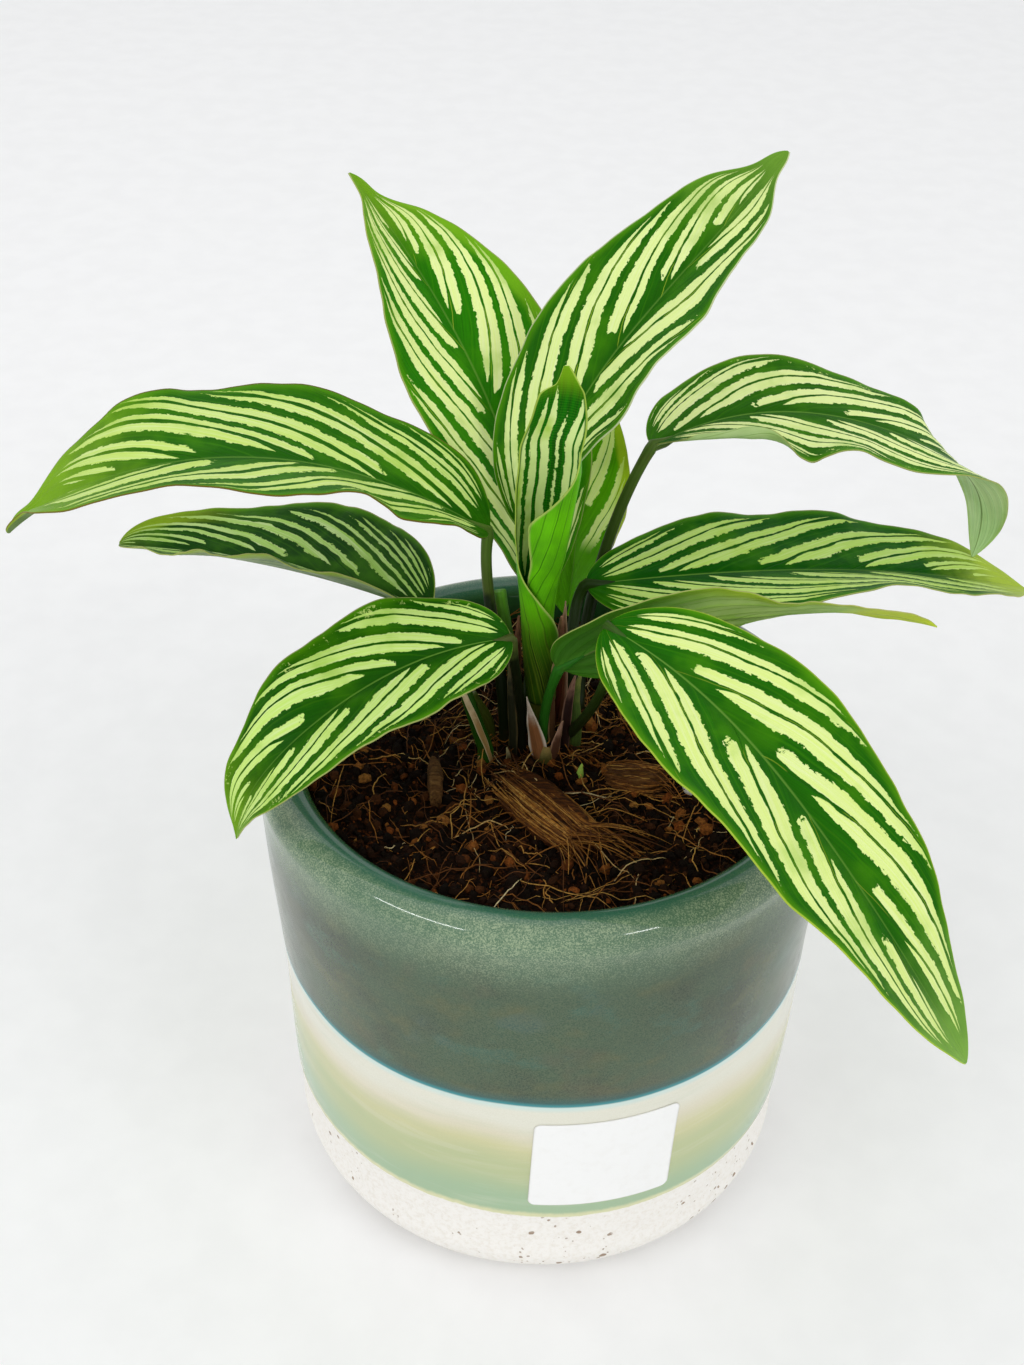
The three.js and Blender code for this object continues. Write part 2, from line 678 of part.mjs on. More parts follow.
function soilBody() {
  let body = soilBlock();
  for (let n = 1; n <= fibreCount; n += 1) body = body.add(fibre(n));
  for (const stem of [...leaves, rolledLeaf, ...cutStems]) {
    body = body.subtract(stemHole(stem.foot, stem.footRadius, stalkDepth));
  }
  for (const scale of scales) body = body.subtract(scaleSeat(scale));
  for (const chip of chips) body = body.subtract(chipSeat(chip));
  body = body.subtract(ball(grain.middle, grain.radius + clearance, 1));
  body = body.subtract(stemHole(sprout.foot, sprout.radius, 2));
  return body.decompose().sort((a, b) => b.volume() - a.volume())[0];
}

function sproutBody() {
  const cone = new THREE.CylinderGeometry(0.3, sprout.radius, sprout.height, 6, 2);
  cone.rotateX(Math.PI / 2);
  cone.translate(sprout.foot[0], sprout.foot[1], soilLevel - 2 + sprout.height / 2);
  return solid(cone);
}

const plant = new THREE.Group();
plant.add(meshOf('pot', potBody(), colours.glaze, 0.2));
plant.add(meshOf('label', labelBody(), colours.label, 0.5));
plant.add(meshOf('potting_mix', soilBody(), colours.soil, 0.95));
for (const leaf of leaves) plant.add(grownLeaf(leaf));
plant.add(meshOf(rolledLeaf.name, rolledLeafBody(rolledLeaf), colours.blade, 0.45));
for (const stem of cutStems) plant.add(meshOf(stem.name, cutStem(stem), colours.cutStem, 0.6));
for (const scale of scales) plant.add(meshOf(scale.name, blade(scale, scaleThickness, 0, 9, 2), colours.dryScale, 0.8));
for (const chip of chips) {
  plant.add(meshOf(chip.name, chipBody(chip), chip.name === 'wood_chip' ? colours.wood : colours.husk, 0.9));
}
plant.add(meshOf(grain.name, ball(grain.middle, grain.radius, 1), colours.perlite, 0.9));
plant.add(meshOf(sprout.name, sproutBody(), colours.sprout, 0.6));

export default plant;
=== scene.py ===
from itertools import combinations
import math
import random

import bpy
import numpy as np
from mathutils import Matrix, Vector, noise


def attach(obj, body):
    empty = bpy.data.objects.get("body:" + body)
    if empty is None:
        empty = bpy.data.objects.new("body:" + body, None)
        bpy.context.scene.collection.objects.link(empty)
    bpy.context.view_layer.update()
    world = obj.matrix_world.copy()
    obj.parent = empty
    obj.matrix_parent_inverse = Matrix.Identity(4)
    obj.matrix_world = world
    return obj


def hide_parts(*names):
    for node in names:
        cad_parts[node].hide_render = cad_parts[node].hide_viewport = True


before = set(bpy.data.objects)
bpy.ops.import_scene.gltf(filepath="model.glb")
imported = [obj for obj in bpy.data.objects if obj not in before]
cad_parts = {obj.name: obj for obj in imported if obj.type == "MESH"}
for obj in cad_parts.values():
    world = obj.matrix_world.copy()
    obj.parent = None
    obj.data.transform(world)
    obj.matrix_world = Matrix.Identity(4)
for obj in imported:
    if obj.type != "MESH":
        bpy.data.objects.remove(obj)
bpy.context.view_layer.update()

mm = 0.001

# camera, floor and light

cameraSet = {
    "place": (-9.6, -361.3, 427.75),  # mm
    "downTilt": 37.15,
    "roll": 1.1,
    "lens": 47.9,
    "sensor": 36,
}
floorSet = {"size": 9.0, "colour": "#f9f9f9", "shade": "#f0f0f0", "roughness": 0.6}
worldSet = {"sky": "#fdfeff", "low": "#e2e3e3", "strength": 0.81}
lightAim = (0, 0, 0.15)  # metres, as the places of the lights
lightSet = {
    "left": {"place": (-1.05, -0.95, 1.2), "size": (0.95, 0.1), "power": 5.2},
    "right": {"place": (1.05, -0.95, 1.2), "size": (0.95, 0.1), "power": 5.0},
    "back": {"place": (-0.5, 0.6, 1.5), "size": (1.4, 1.4), "power": 2.2},
}


def colour(text, alpha=1.0):
    # screen colour such as #80c040 to the linear colour that a shader takes
    parts = [int(text[k:k + 2], 16) / 255 for k in (1, 3, 5)]
    line = [p / 12.92 if p < 0.04045 else ((p + 0.055) / 1.055) ** 2.4 for p in parts]
    return (*line, alpha)


def makeCamera():
    data = bpy.data.cameras.new("camera")
    data.lens = cameraSet["lens"]
    data.sensor_width = cameraSet["sensor"]
    data.clip_start = 0.01
    camera = bpy.data.objects.new("camera", data)
    turn = Matrix.Rotation(math.radians(90 - cameraSet["downTilt"]), 4, "X")
    turn = turn @ Matrix.Rotation(math.radians(cameraSet["roll"]), 4, "Z")
    camera.matrix_world = Matrix.Translation(Vector(cameraSet["place"]) * mm) @ turn
    bpy.context.scene.collection.objects.link(camera)
    bpy.context.scene.camera = camera


def makeLights():
    for name, light in lightSet.items():
        data = bpy.data.lights.new(name, "AREA")
        data.shape = "RECTANGLE"
        data.size, data.size_y = light["size"]
        data.energy = light["power"]
        lamp = bpy.data.objects.new(name, data)
        lamp.location = light["place"]
        lamp.rotation_euler = (Vector(lightAim) - lamp.location).to_track_quat("-Z", "Y").to_euler()
        bpy.context.scene.collection.objects.link(lamp)
    view = bpy.context.scene.view_settings
    view.view_transform = "Standard"
    view.look = "None"
    world = bpy.data.worlds.new("studio")
    bpy.context.scene.world = world
    world.use_nodes = True
    tree = world.node_tree
    back = tree.nodes["Background"]
    place = addNode(tree, "ShaderNodeTexCoord")
    height = splitVector(tree, place.outputs["Generated"])[2]
    rise = mapRange(tree, height, -0.2, 0.6)
    link(tree, back.inputs["Color"], mixColour(tree, rise, worldSet["low"], worldSet["sky"]))
    back.inputs["Strength"].default_value = worldSet["strength"]


# node helpers

def link(tree, socket, value):
    if isinstance(value, bpy.types.NodeSocket):
        tree.links.new(value, socket)
    elif isinstance(value, str):
        socket.default_value = colour(value)
    else:
        socket.default_value = value


def addNode(tree, kind, inputs=None, **settings):
    node = tree.nodes.new(kind)
    for key, value in settings.items():
        setattr(node, key, value)
    for key, value in (inputs or {}).items():
        link(tree, node.inputs[key], value)
    return node


def calc(tree, operation, *values, clamp=False):
    node = addNode(tree, "ShaderNodeMath", operation=operation, use_clamp=clamp)
    for socket, value in zip(node.inputs, values):
        link(tree, socket, value)
    return node.outputs[0]


def times(tree, first, second):
    return calc(tree, "MULTIPLY", first, second)


def timesPlus(tree, value, factor, base):
    return calc(tree, "MULTIPLY_ADD", value, factor, base)


def nudged(tree, value, wave, amount):
    # the value moved up and down by a wave that runs from 0 to 1
    return timesPlus(tree, calc(tree, "SUBTRACT", wave, 0.5), amount, value)


def mapRange(tree, value, low, high, toLow=0.0, toHigh=1.0, kind="SMOOTHSTEP"):
    node = addNode(tree, "ShaderNodeMapRange", interpolation_type=kind)
    for socket, part in zip(node.inputs, (value, low, high, toLow, toHigh)):
        link(tree, socket, part)
    return node.outputs[0]


def mixColour(tree, factor, first, second):
    node = addNode(tree, "ShaderNodeMix", data_type="RGBA")
    for socket, value in zip((node.inputs[0], node.inputs[6], node.inputs[7]), (factor, first, second)):
        link(tree, socket, value)
    return node.outputs[2]


def layered(tree, shade, *layers):
    # each layer is a mask and the colour that it lays over what is there
    for mask, tone in layers:
        shade = mixColour(tree, mask, shade, tone)
    return shade


def splitVector(tree, vector):
    return addNode(tree, "ShaderNodeSeparateXYZ", {0: vector}).outputs


def joinVector(tree, x=0.0, y=0.0, z=0.0):
    return addNode(tree, "ShaderNodeCombineXYZ", {0: x, 1: y, 2: z}).outputs[0]


def scaled(tree, vector, factors):
    node = addNode(tree, "ShaderNodeVectorMath", {0: vector, 1: factors}, operation="MULTIPLY")
    return node.outputs[0]


def noiseAt(tree, vector, scale, detail=2.0, roughness=0.5):
    inputs = {"Vector": vector, "Scale": scale, "Detail": detail, "Roughness": roughness}
    return addNode(tree, "ShaderNodeTexNoise", inputs).outputs["Fac"]


def rampOf(tree, factor, stops):
    node = addNode(tree, "ShaderNodeValToRGB", {0: factor})
    points = node.color_ramp.elements
    while len(points) < len(stops):
        points.new(0.5)
    for point, (place, shade) in zip(points, stops):
        point.position = place
        point.color = colour(shade)
    return node.outputs[0]


def newGroup(name, inputs, outputs):
    # inputs gives the names of the values and of the vectors that go in; outputs are values
    tree = bpy.data.node_groups.new(name, "ShaderNodeTree")
    for kind, labels in inputs.items():
        for label in labels:
            tree.interface.new_socket(label, in_out="INPUT", socket_type=kind)
    for label in outputs:
        tree.interface.new_socket(label, in_out="OUTPUT", socket_type="NodeSocketFloat")
    return tree, tree.nodes.new("NodeGroupInput").outputs, tree.nodes.new("NodeGroupOutput").inputs


def useGroup(tree, group, inputs):
    node = tree.nodes.new("ShaderNodeGroup")
    node.node_tree = group
    for key, value in inputs.items():
        link(tree, node.inputs[key], value)
    return node.outputs


def newMaterial(name, roughness, specular, more=None):
    material = bpy.data.materials.new(name)
    material.use_nodes = True
    tree = material.node_tree
    sockets = tree.nodes["Principled BSDF"].inputs
    for key, value in {"Roughness": roughness, "Specular IOR Level": specular, **(more or {})}.items():
        link(tree, sockets[key], value)
    return material, tree, sockets


def addBump(tree, sockets, height, strength, distance):
    inputs = {"Height": height, "Strength": strength, "Distance": distance}
    link(tree, sockets["Normal"], addNode(tree, "ShaderNodeBump", inputs).outputs[0])


# mesh helpers

def makePiece(name, points, faces, materials, nodes=(), faceKinds=None, uvMaps=None, smooth=True):
    # points in mm; uvMaps gives for each map one pair for each corner of each face
    mesh = bpy.data.meshes.new(name)
    mesh.from_pydata((np.asarray(points, float) * mm).tolist(), [], faces)
    for material in materials:
        mesh.materials.append(material)
    mesh.polygons.foreach_set("use_smooth", [smooth] * len(mesh.polygons))
    if faceKinds is not None:
        mesh.polygons.foreach_set("material_index", np.asarray(faceKinds, np.int32))
    for label, pairs in (uvMaps or {}).items():
        layer = mesh.uv_layers.new(name=label)
        layer.data.foreach_set("uv", np.asarray(pairs, np.float32).ravel())
    mesh.update()
    piece = bpy.data.objects.new(name, mesh)
    bpy.context.scene.collection.objects.link(piece)
    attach(piece, "root")
    if nodes:
        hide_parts(*nodes)
    return piece


def along(stations, s):
    # smooth value at a fraction s of the way along equally spaced stations
    values = np.asarray(stations, float)
    last = len(values) - 1
    x = np.clip(s, 0, 1) * last
    i = np.minimum(np.floor(x).astype(int), last - 1)
    f = x - i
    f = f.reshape(f.shape + (1,) * (values.ndim - 1))
    ends = np.concatenate([[2 * values[0] - values[1]], values, [2 * values[-1] - values[-2]]])
    before, a, b, after = ends[i], ends[i + 1], ends[i + 2], ends[i + 3]
    square = 2 * before - 5 * a + 4 * b - after
    cube = 3 * a - 3 * b + after - before
    return 0.5 * (2 * a + (b - before) * f + square * f ** 2 + cube * f ** 3)


def closedSheet(upper, lower):
    # faces of a thin closed skin between two grids of points, with the grid cell of each corner
    rows, columns = upper.shape[:2]
    count = rows * columns
    points = np.concatenate([upper.reshape(-1, 3), lower.reshape(-1, 3)])
    faces, cells, kinds = [], [], []

    def add(corners, kind, column):
        faces.append([i * columns + j + (count if low else 0) for i, j, low in corners])
        cells.append(([(i, j) for i, j, low in corners], column))
        kinds.append(kind)

    for i in range(rows - 1):
        for j in range(columns - 1):
            add([(i, j, 0), (i, j + 1, 0), (i + 1, j + 1, 0), (i + 1, j, 0)], 0, j)
            add([(i, j, 1), (i + 1, j, 1), (i + 1, j + 1, 1), (i, j + 1, 1)], 1, j)
        add([(i, 0, 0), (i + 1, 0, 0), (i + 1, 0, 1), (i, 0, 1)], 0, 0)
        last = columns - 1
        add([(i, last, 1), (i + 1, last, 1), (i + 1, last, 0), (i, last, 0)], 0, last - 1)
    for j in range(columns - 1):
        add([(0, j, 1), (0, j + 1, 1), (0, j + 1, 0), (0, j, 0)], 0, j)
        end = rows - 1
        add([(end, j, 0), (end, j + 1, 0), (end, j + 1, 1), (end, j, 1)], 0, j)
    return points, faces, cells, kinds


def gridNormals(grid):
    lengthwise = np.gradient(grid, axis=0)
    leftward = -np.gradient(grid, axis=1)
    normals = np.cross(lengthwise, leftward)
    return normals / np.maximum(np.linalg.norm(normals, axis=2, keepdims=True), 1e-9)


def ringFaces(rings):
    # faces between neighbouring rings of point numbers, where a ring of one number is a tip
    segments = max(len(ring) for ring in rings)
    faces = []
    for low, high in zip(rings, rings[1:]):
        for k in range(segments):
            n = (k + 1) % segments
            face = [low[k % len(low)], low[n % len(low)], high[n % len(high)], high[k % len(high)]]
            faces.append(list(dict.fromkeys(face)))
    return faces


def tubeMesh(path, radii, sides, groove=0.0):
    # closed tube along the path; each corner's pair is its share of the way along and round
    path = np.asarray(path, float)
    ways = np.gradient(path, axis=0)
    ways /= np.linalg.norm(ways, axis=1, keepdims=True)
    across = np.array([1.0, 0.0, 0.0])
    angles = np.arange(sides) / sides * 2 * np.pi
    shrink = 1 - groove * np.maximum(np.cos(angles - np.pi / 2), 0) ** 6
    rings = []
    for point, way, radius in zip(path, ways, radii):
        across = across - way * across.dot(way)
        across /= np.linalg.norm(across)
        up = np.cross(way, across)
        out = np.cos(angles)[:, None] * across + np.sin(angles)[:, None] * up
        rings.append(point + (radius * shrink)[:, None] * out)
    steps = len(path)
    points = np.concatenate(rings + [path[:1], path[-1:]])
    numbers = np.arange(steps * sides).reshape(steps, sides).tolist()
    faces = ringFaces([[steps * sides]] + numbers + [[steps * sides + 1]])
    pairs = [(0, 0.5)] * (3 * sides)
    for i in range(steps - 1):
        low, high = i / (steps - 1), (i + 1) / (steps - 1)
        for k in range(sides):
            near, far = k / sides, (k + 1) / sides
            pairs += [(low, near), (low, far), (high, far), (high, near)]
    return points, faces, pairs + [(1, 0.5)] * (3 * sides)


def bezier(p0, p1, p2, p3, count):
    u = np.linspace(0, 1, count)[:, None]
    return (1 - u) ** 3 * p0 + 3 * (1 - u) ** 2 * u * p1 + 3 * (1 - u) * u ** 2 * p2 + u ** 3 * p3


# leaves: the lie of each blade, its stalk, and where the pairs of pale bars leave the midrib

soilSet = {
    "level": 130, "crownHeight": 2.5, "roughness": 1.3, "stalkDepth": 15, "stalkRise": 4,
}
bladeSet = {
    "rows": 132, "columns": 23, "thickness": 0.5, "edgeThickness": 0.3,
    "ribHeight": 0.85, "ribWidth": 1.0, "grooveDepth": 0.35, "grooveWidth": 0.9,
    "quilting": 0.2, "ripple": 0.35, "neckBend": 0.25,
    "reach": (0.42, 0.12),  # how far a side vein runs forward on its way to the edge
}
leaves = [
    {
        "name": "leaf_back_left", "foot": (-5.5, 14), "base": (-3, 35, 156),
        "heading": (119, 128, 142), "pitch": (75, 44, 36), "roll": (25, -1, 17),
        "length": 124, "width": 49, "belly": 0.45,
        "leftFold": (23, 14, 19), "rightFold": (14, 21, 12),
        "leftWave": (0.6, 3, 0.1), "rightWave": (0.7, 2.5, 0.4),
        "footRadius": 2.2, "neckRadius": 1.7,
        "leftPairs": (-0.22, 0.02, 0.225, 0.39, 0.55, 0.7),
        "rightPairs": (-0.1, 0.1, 0.263, 0.417, 0.6, 0.75),
        "drip": 0.45, "core": 0.6, "band": {"side": "right", "from": 0.5, "inner": 0.8, "tone": "#76b21c"},
        "green": "#2a8203", "lime": "#e6f698", "tip": "#7fb022", "tipStart": 0.93, "barFade": 0.98,
        "stalk": "#4c7a22",
    },
    {
        "name": "leaf_back_right", "foot": (0.5, 13.5), "base": (-6, 26, 181),
        "heading": (42, 32, 26), "pitch": (77, 43, 45), "roll": (-10, -2, 8),
        "length": 114, "width": 49, "belly": 0.44,
        "leftFold": (21, 17, 18), "rightFold": (23, 17, 16),
        "leftWave": (0.6, 2.5, 0), "rightWave": (1.2, 4, 0.35),
        "footRadius": 2.2, "neckRadius": 1.7,
        "leftPairs": (-0.35, -0.167, 0.055, 0.267, 0.453, 0.6, 0.8),
        "rightPairs": (-0.15, 0.1, 0.4, 0.68), "tipStart": 0.97, "barFade": 0.99, "drip": 0.35, "core": 0.6,
        "green": "#226904", "lime": "#e0f296", "tip": "#7aa83a", "stalk": "#4c7a22", "rim": "#dfe2b4",
    },
    {
        "name": "leaf_left_high", "foot": (-11.2, 3.2), "base": (-16, 13, 190),
        "heading": (184, 203, 172), "pitch": (37, 14, -46), "roll": (-11, -1, 1),
        "length": 125, "width": 55, "belly": 0.45,
        "leftFold": (23, 14, 22), "rightFold": (23, 10, 21),
        "leftWave": (1.6, 3.6, 0.85), "rightWave": (1.3, 3.2, 0.05),
        "footRadius": 1.9, "neckRadius": 1.6, "neckPitch": 100,
        "leftPairs": (-0.1, 0.12, 0.35, 0.6), "rightPairs": (-0.33, -0.16, 0.033, 0.233, 0.39, 0.6, 0.75),
        "drip": 0.55, "barFirst": -0.02, "barLast": 1.05, "barLine": 0.055, "rim": "#7a4a2c",
        "green": "#256a04", "lime": "#c6e270", "tip": "#86b428", "tipStart": 0.86, "barFade": 0.92,
        "stalkTones": (
            (0.0, "#17140b"), (0.2, "#131d0b"), (0.72, "#1a2a0f"), (0.77, "#4c5c22"), (1.0, "#5d7d2e"),
        ),
    },
    {
        "name": "leaf_left_low", "foot": (-16, -1.8), "base": (-30.1, 7.4, 170.1),
        "heading": (141, 150, 184), "pitch": (-6, -8, 5.5), "roll": (-5, 3.5, 8),
        "length": 97.2, "width": 49.4, "belly": 0.5,
        "leftFold": (48, 33, 20), "rightFold": (31, 16.5, 14),
        "leftWave": (1, 3.9, 0.7), "rightWave": (1.2, 2.1, 0.2),
        "footRadius": 2.9, "neckRadius": 1.5, "neckPitch": 45, "lean": (-0.3, 0),
        "leftPairs": (-0.1, 0.12, 0.35, 0.58, 0.8), "rightPairs": (-0.2, -0.02, 0.23, 0.5, 0.71),
        "barLine": 0.085, "barWidth": 0.35, "underPale": "#a3b592", "underDeep": "#6f8a5c",
        "band": {"side": "right", "from": 0.8, "inner": 0.62, "tone": "#8fae1f"},
        # its green and lime are darker than the other leaves': painted shade, as it lies under the other leaves
        "green": "#164804", "lime": "#9fc85a", "tip": "#86a83a", "tipStart": 1.1, "barFade": 1.08,
        "rightReach": 1.35,
        "stalkTones": ((0.0, "#4a5214"), (0.12, "#2c5a10"), (0.3, "#1c4a08"), (1.0, "#4c7a22")),
    },
    {
        "name": "leaf_front_left", "foot": (-6.9, 1.2), "base": (-10, -6, 172),
        "heading": (205, 216, 180), "pitch": (10, -17, -84), "roll": (-21, -9, -27),
        "length": 92, "width": 37, "belly": 0.39,
        "leftFold": (10, 14, 11), "rightFold": (17, 12, 19),
        "leftWave": (1, 3, 0.6), "rightWave": (1.2, 3.5, 0.2),
        "footRadius": 1.5, "neckRadius": 1.4, "neckPitch": 85,
        "leftPairs": (-0.18, 0.03, 0.25, 0.47, 0.66, 0.82),
        "rightPairs": (-0.3, -0.09, 0.145, 0.325, 0.6, 0.78),
        "green": "#1d5c05", "lime": "#c8ea74", "tip": "#7fb022", "tipStart": 0.95, "barFade": 1.0,
        "flecks": 0.75,
        "stalkTones": ((0.0, "#14120a"), (0.6, "#16200e"), (0.66, "#4a5626"), (1.0, "#56642c")),
    },
    {
        "name": "leaf_right_arch", "foot": (8, 18), "base": (25.7, 51.7, 192.8),
        "heading": (36, 20, -12, 12, 36), "pitch": (10, -3, -10, -45, -109), "roll": (-15, 9, -1, -8, -15),
        "length": 126, "width": 45.1, "belly": 0.39,
        "leftFold": (13, 2, 8), "rightFold": (14, 4, 12),
        "leftWave": (1.2, 3.5, 0.1), "rightWave": (1.7, 3.8, 0.45),
        "footRadius": 2.1, "neckRadius": 1.7, "neckPitch": 50, "lean": (0.03, 1.6), "underRim": 0.4,
        "leftPairs": (-0.3, -0.167, 0.05, 0.245, 0.45, 0.62),
        "rightPairs": (-0.12, 0.06, 0.22, 0.37, 0.53, 0.7),
        "green": "#2c6c06", "lime": "#e4f49c", "tip": "#8fc052", "tipStart": 0.95, "barFade": 0.97,
        "stalk": "#56722c", "flecks": 0.75,
        "underPale": "#dcf0c0", "underDeep": "#bcdca0", "underLine": "#7fae66",
        "curl": {"side": "right", "from": 0.02, "to": 0.28, "share": 0.22, "turn": 150},
    },
    {
        "name": "leaf_right_middle", "foot": (6.5, 10.5), "base": (9, 28, 165),
        "heading": (8, 18, 24), "pitch": (4, -11, -24), "roll": (11, -5, 4),
        "length": 136, "width": 52, "belly": 0.45,
        "leftFold": (-2, 11, 14), "rightFold": (-7, 16, 11),
        "leftWave": (0.9, 3.5, 0.3), "rightWave": (0.9, 3, 0.7),
        "footRadius": 2, "neckRadius": 1.7, "neckPitch": 55,
        "leftPairs": (-0.27, -0.065, 0.13, 0.35, 0.54, 0.69, 0.83),
        "rightPairs": (-0.2, -0.03, 0.1, 0.22, 0.38, 0.55),
        "green": "#105c03", "lime": "#bfe068", "tip": "#b4cc48", "tipStart": 0.93, "barFade": 0.97,
        "stalk": "#274c12",
    },
    {
        "name": "leaf_right_turned", "foot": (-1.6, 0.6), "base": (2, -3, 161),
        "heading": (-7, 18, 10, 12), "pitch": (47, -2, -3, -27), "roll": (-74, -59, -38, -42),
        "length": 103, "width": 41, "belly": 0.36,
        "leftFold": (-8, 0, 3), "rightFold": (-10, -1, 4),
        "leftWave": (0.5, 2, 0), "rightWave": (0.8, 3, 0.3),
        "footRadius": 1.7, "neckRadius": 1.4, "neckPitch": 70,
        "leftPairs": (-0.2, 0, 0.2, 0.4, 0.6), "rightPairs": (-0.15, 0.05, 0.25, 0.45, 0.65),
        "green": "#266208", "lime": "#b9da6c", "tip": "#b3c22e", "tipStart": 0.78, "barFade": 0.85,
        "calm": 0.8, "barsFrom": 0.3, "band": {"side": "left", "from": 0.1, "inner": 0.8,
        "tone": "#9cb52a"},
        # the last colour on the next line is painted shade at the base of the underside
        "underPale": "#b9dc72", "underDeep": "#8fbc4a", "underLine": "#4f8426", "underShadedBase": "#2f7414",
        "underTip": "#c6d836",
        "stalkTones": ((0.0, "#1f3a10"), (0.15, "#2a6a1a"), (1.0, "#37861f")),
    },
    {
        "name": "leaf_front_right", "foot": (5, 4.5), "base": (12, -17, 184),
        "heading": (-45, -53, -40), "pitch": (2, -23, -50), "roll": (14, -6, -13),
        "length": 130, "width": 50, "belly": 0.44,
        "leftFold": (10, 6, 7), "rightFold": (6, 9, 9),
        "leftWave": (0.7, 3, 0.2), "rightWave": (0.9, 3.5, 0.6),
        "footRadius": 1.7, "neckRadius": 1.4, "neckPitch": 112, "lean": (0.3, -0.75),
        "leftPairs": (-0.28, -0.07, 0.167, 0.4, 0.66), "rightPairs": (-0.33, -0.13, 0.1, 0.308, 0.53, 0.75),
        "leftGrowth": 3.0, "core": 0.35, "rim": "#c3d64e",
        "green": "#206a03", "lime": "#dbef88", "tip": "#8dbb52", "tipStart": 0.97, "barFade": 1,
        "stalk": "#3f6420",
    },
    {
        "name": "leaf_back_young", "foot": (3.5, 21), "base": (5.2, 49.9, 139.6),
        "heading": (73, 84, 87), "pitch": (69, 59, 63), "roll": (-45, -13, 12),
        "length": 66, "width": 28.3, "belly": 0.46,
        "leftFold": (13, 5, 6), "rightFold": (23, 6, 4),
        "leftWave": (0.4, 2, 0), "rightWave": (0.5, 2.5, 0.4),
        "footRadius": 1.7, "neckRadius": 1.3,
        "leftPairs": (-0.1, 0.2, 0.5, 0.75), "rightPairs": (-0.15, 0.15, 0.45, 0.72),
        "barsFrom": 0.3, "band": {"side": "right", "from": 0.0, "inner": 0.75, "tone": "#b4d02a"},
        "barLine": 0.015, "barWidth": 0.3,
        # its green and lime are set brighter as painted light, since it stands behind the other leaves and gets
        # less light
        "green": "#5cb00a", "lime": "#e2fa88", "tip": "#a8dc24", "tipStart": 0.9, "barFade": 0.95,
        "stalk": "#5d8a2c",
    },
]


def radiansAlong(stations, s):
    return np.radians(along(stations, s))


def frameAt(leaf, s):
    # direction, left side and upper side of the blade
    heading, pitch, roll = (radiansAlong(leaf[key], s) for key in ("heading", "pitch", "roll"))
    forward = np.stack([np.cos(pitch) * np.cos(heading), np.cos(pitch) * np.sin(heading), np.sin(pitch)], -1)
    level = np.stack([-np.sin(heading), np.cos(heading), 0 * heading], -1)
    above = np.cross(forward, level)
    cosine, sine = np.cos(roll)[..., None], np.sin(roll)[..., None]
    return forward, level * cosine + above * sine, above * cosine - level * sine


def midribAt(leaf, s):
    steps = 400
    middle = (np.arange(steps) + 0.5) / steps
    forward = frameAt(leaf, middle)[0]
    path = np.concatenate([[[0, 0, 0]], np.cumsum(forward, 0) * leaf["length"] / steps]) + leaf["base"]
    places = np.linspace(0, 1, steps + 1)
    return np.stack([np.interp(s, places, path[:, k]) for k in range(3)], -1)


def outline(s, belly):
    # half width as a share of the widest: round at the base, tapering to the tip
    basePower = 0.6
    tipPower = basePower * (1 - belly) / belly
    widest = belly ** basePower * (1 - belly) ** tipPower
    return s ** basePower * (1 - s) ** tipPower / widest


def bladeGrid(leaf, s, v):
    # points of the blade: v runs from 1 at the left edge to -1 at the right edge
    left, up = frameAt(leaf, s)[1:]
    half = outline(s, leaf["belly"]) * leaf["width"] / 2
    half = half * (1 - leaf.get("drip", 0.0) * np.exp(-((s - 0.94) / 0.05) ** 2))
    curl = leaf.get("curl", {"side": "none"})
    grid = np.empty((len(s), len(v), 3))
    for column, place in enumerate(v):
        side = "left" if place > 0 else "right"
        t = abs(place)
        fold = radiansAlong(leaf[side + "Fold"], s)
        height, count, phase = leaf.get(side + "Wave", (0, 0, 0))
        wave = height * np.sin(2 * np.pi * (count * s + phase)) * t * t * np.sqrt(outline(s, leaf["belly"]))
        run, rise = half * t, 0 * s
        if side == curl["side"] and t > 1 - curl["share"]:
            flat = 1 - curl["share"]
            strength = np.clip((s - curl["from"]) / 0.06, 0, 1) * np.clip((curl["to"] - s) / 0.12, 0, 1)
            bend = np.radians(curl["turn"]) * np.maximum(strength * strength * (3 - 2 * strength), 0.001)
            radius = curl["share"] * half / bend
            turned = bend * (t - flat) / curl["share"]
            run = flat * half + radius * np.sin(turned)
            rise = radius * (1 - np.cos(turned))
        out = np.cos(fold) * run - np.sin(fold) * rise
        lift = np.sin(fold) * run + np.cos(fold) * rise + wave
        grid[:, column] = midribAt(leaf, s) + left * (np.sign(place) * out)[:, None] + up * lift[:, None]
    return grid, half


def veinPlace(s, t, pairs, growth, reach):
    # which pair of bars a point belongs to: whole numbers lie between the pairs
    starts = np.linspace(-0.9, 1.3, 600)
    nearReach, farReach = bladeSet["reach"]
    spread = 1 + growth * np.maximum(starts - 0.25, 0) ** 2
    share = np.interp(s, starts + reach * spread * (nearReach * t + farReach * t ** 3), starts)
    pairs = np.asarray(pairs)
    first = pairs[0] - 4 * (pairs[1] - pairs[0])
    last = pairs[-1] + 4 * (pairs[-1] - pairs[-2])
    numbers = np.concatenate([[-3.5], np.arange(len(pairs)) + 0.5, [len(pairs) + 3.5]])
    return np.interp(share, np.concatenate([[first], pairs, [last]]), numbers)


def leafVeins(leaf, s, v):
    # pair number over the blade, for its left and its right half
    halves = []
    for half in ("left", "right"):
        growth, reach = leaf.get(half + "Growth", 0.0), leaf.get(half + "Reach", 1.0)
        halves.append(np.stack([veinPlace(s, abs(t), leaf[half + "Pairs"], growth, reach) for t in v], 1))
    return halves[0], halves[1] + 20


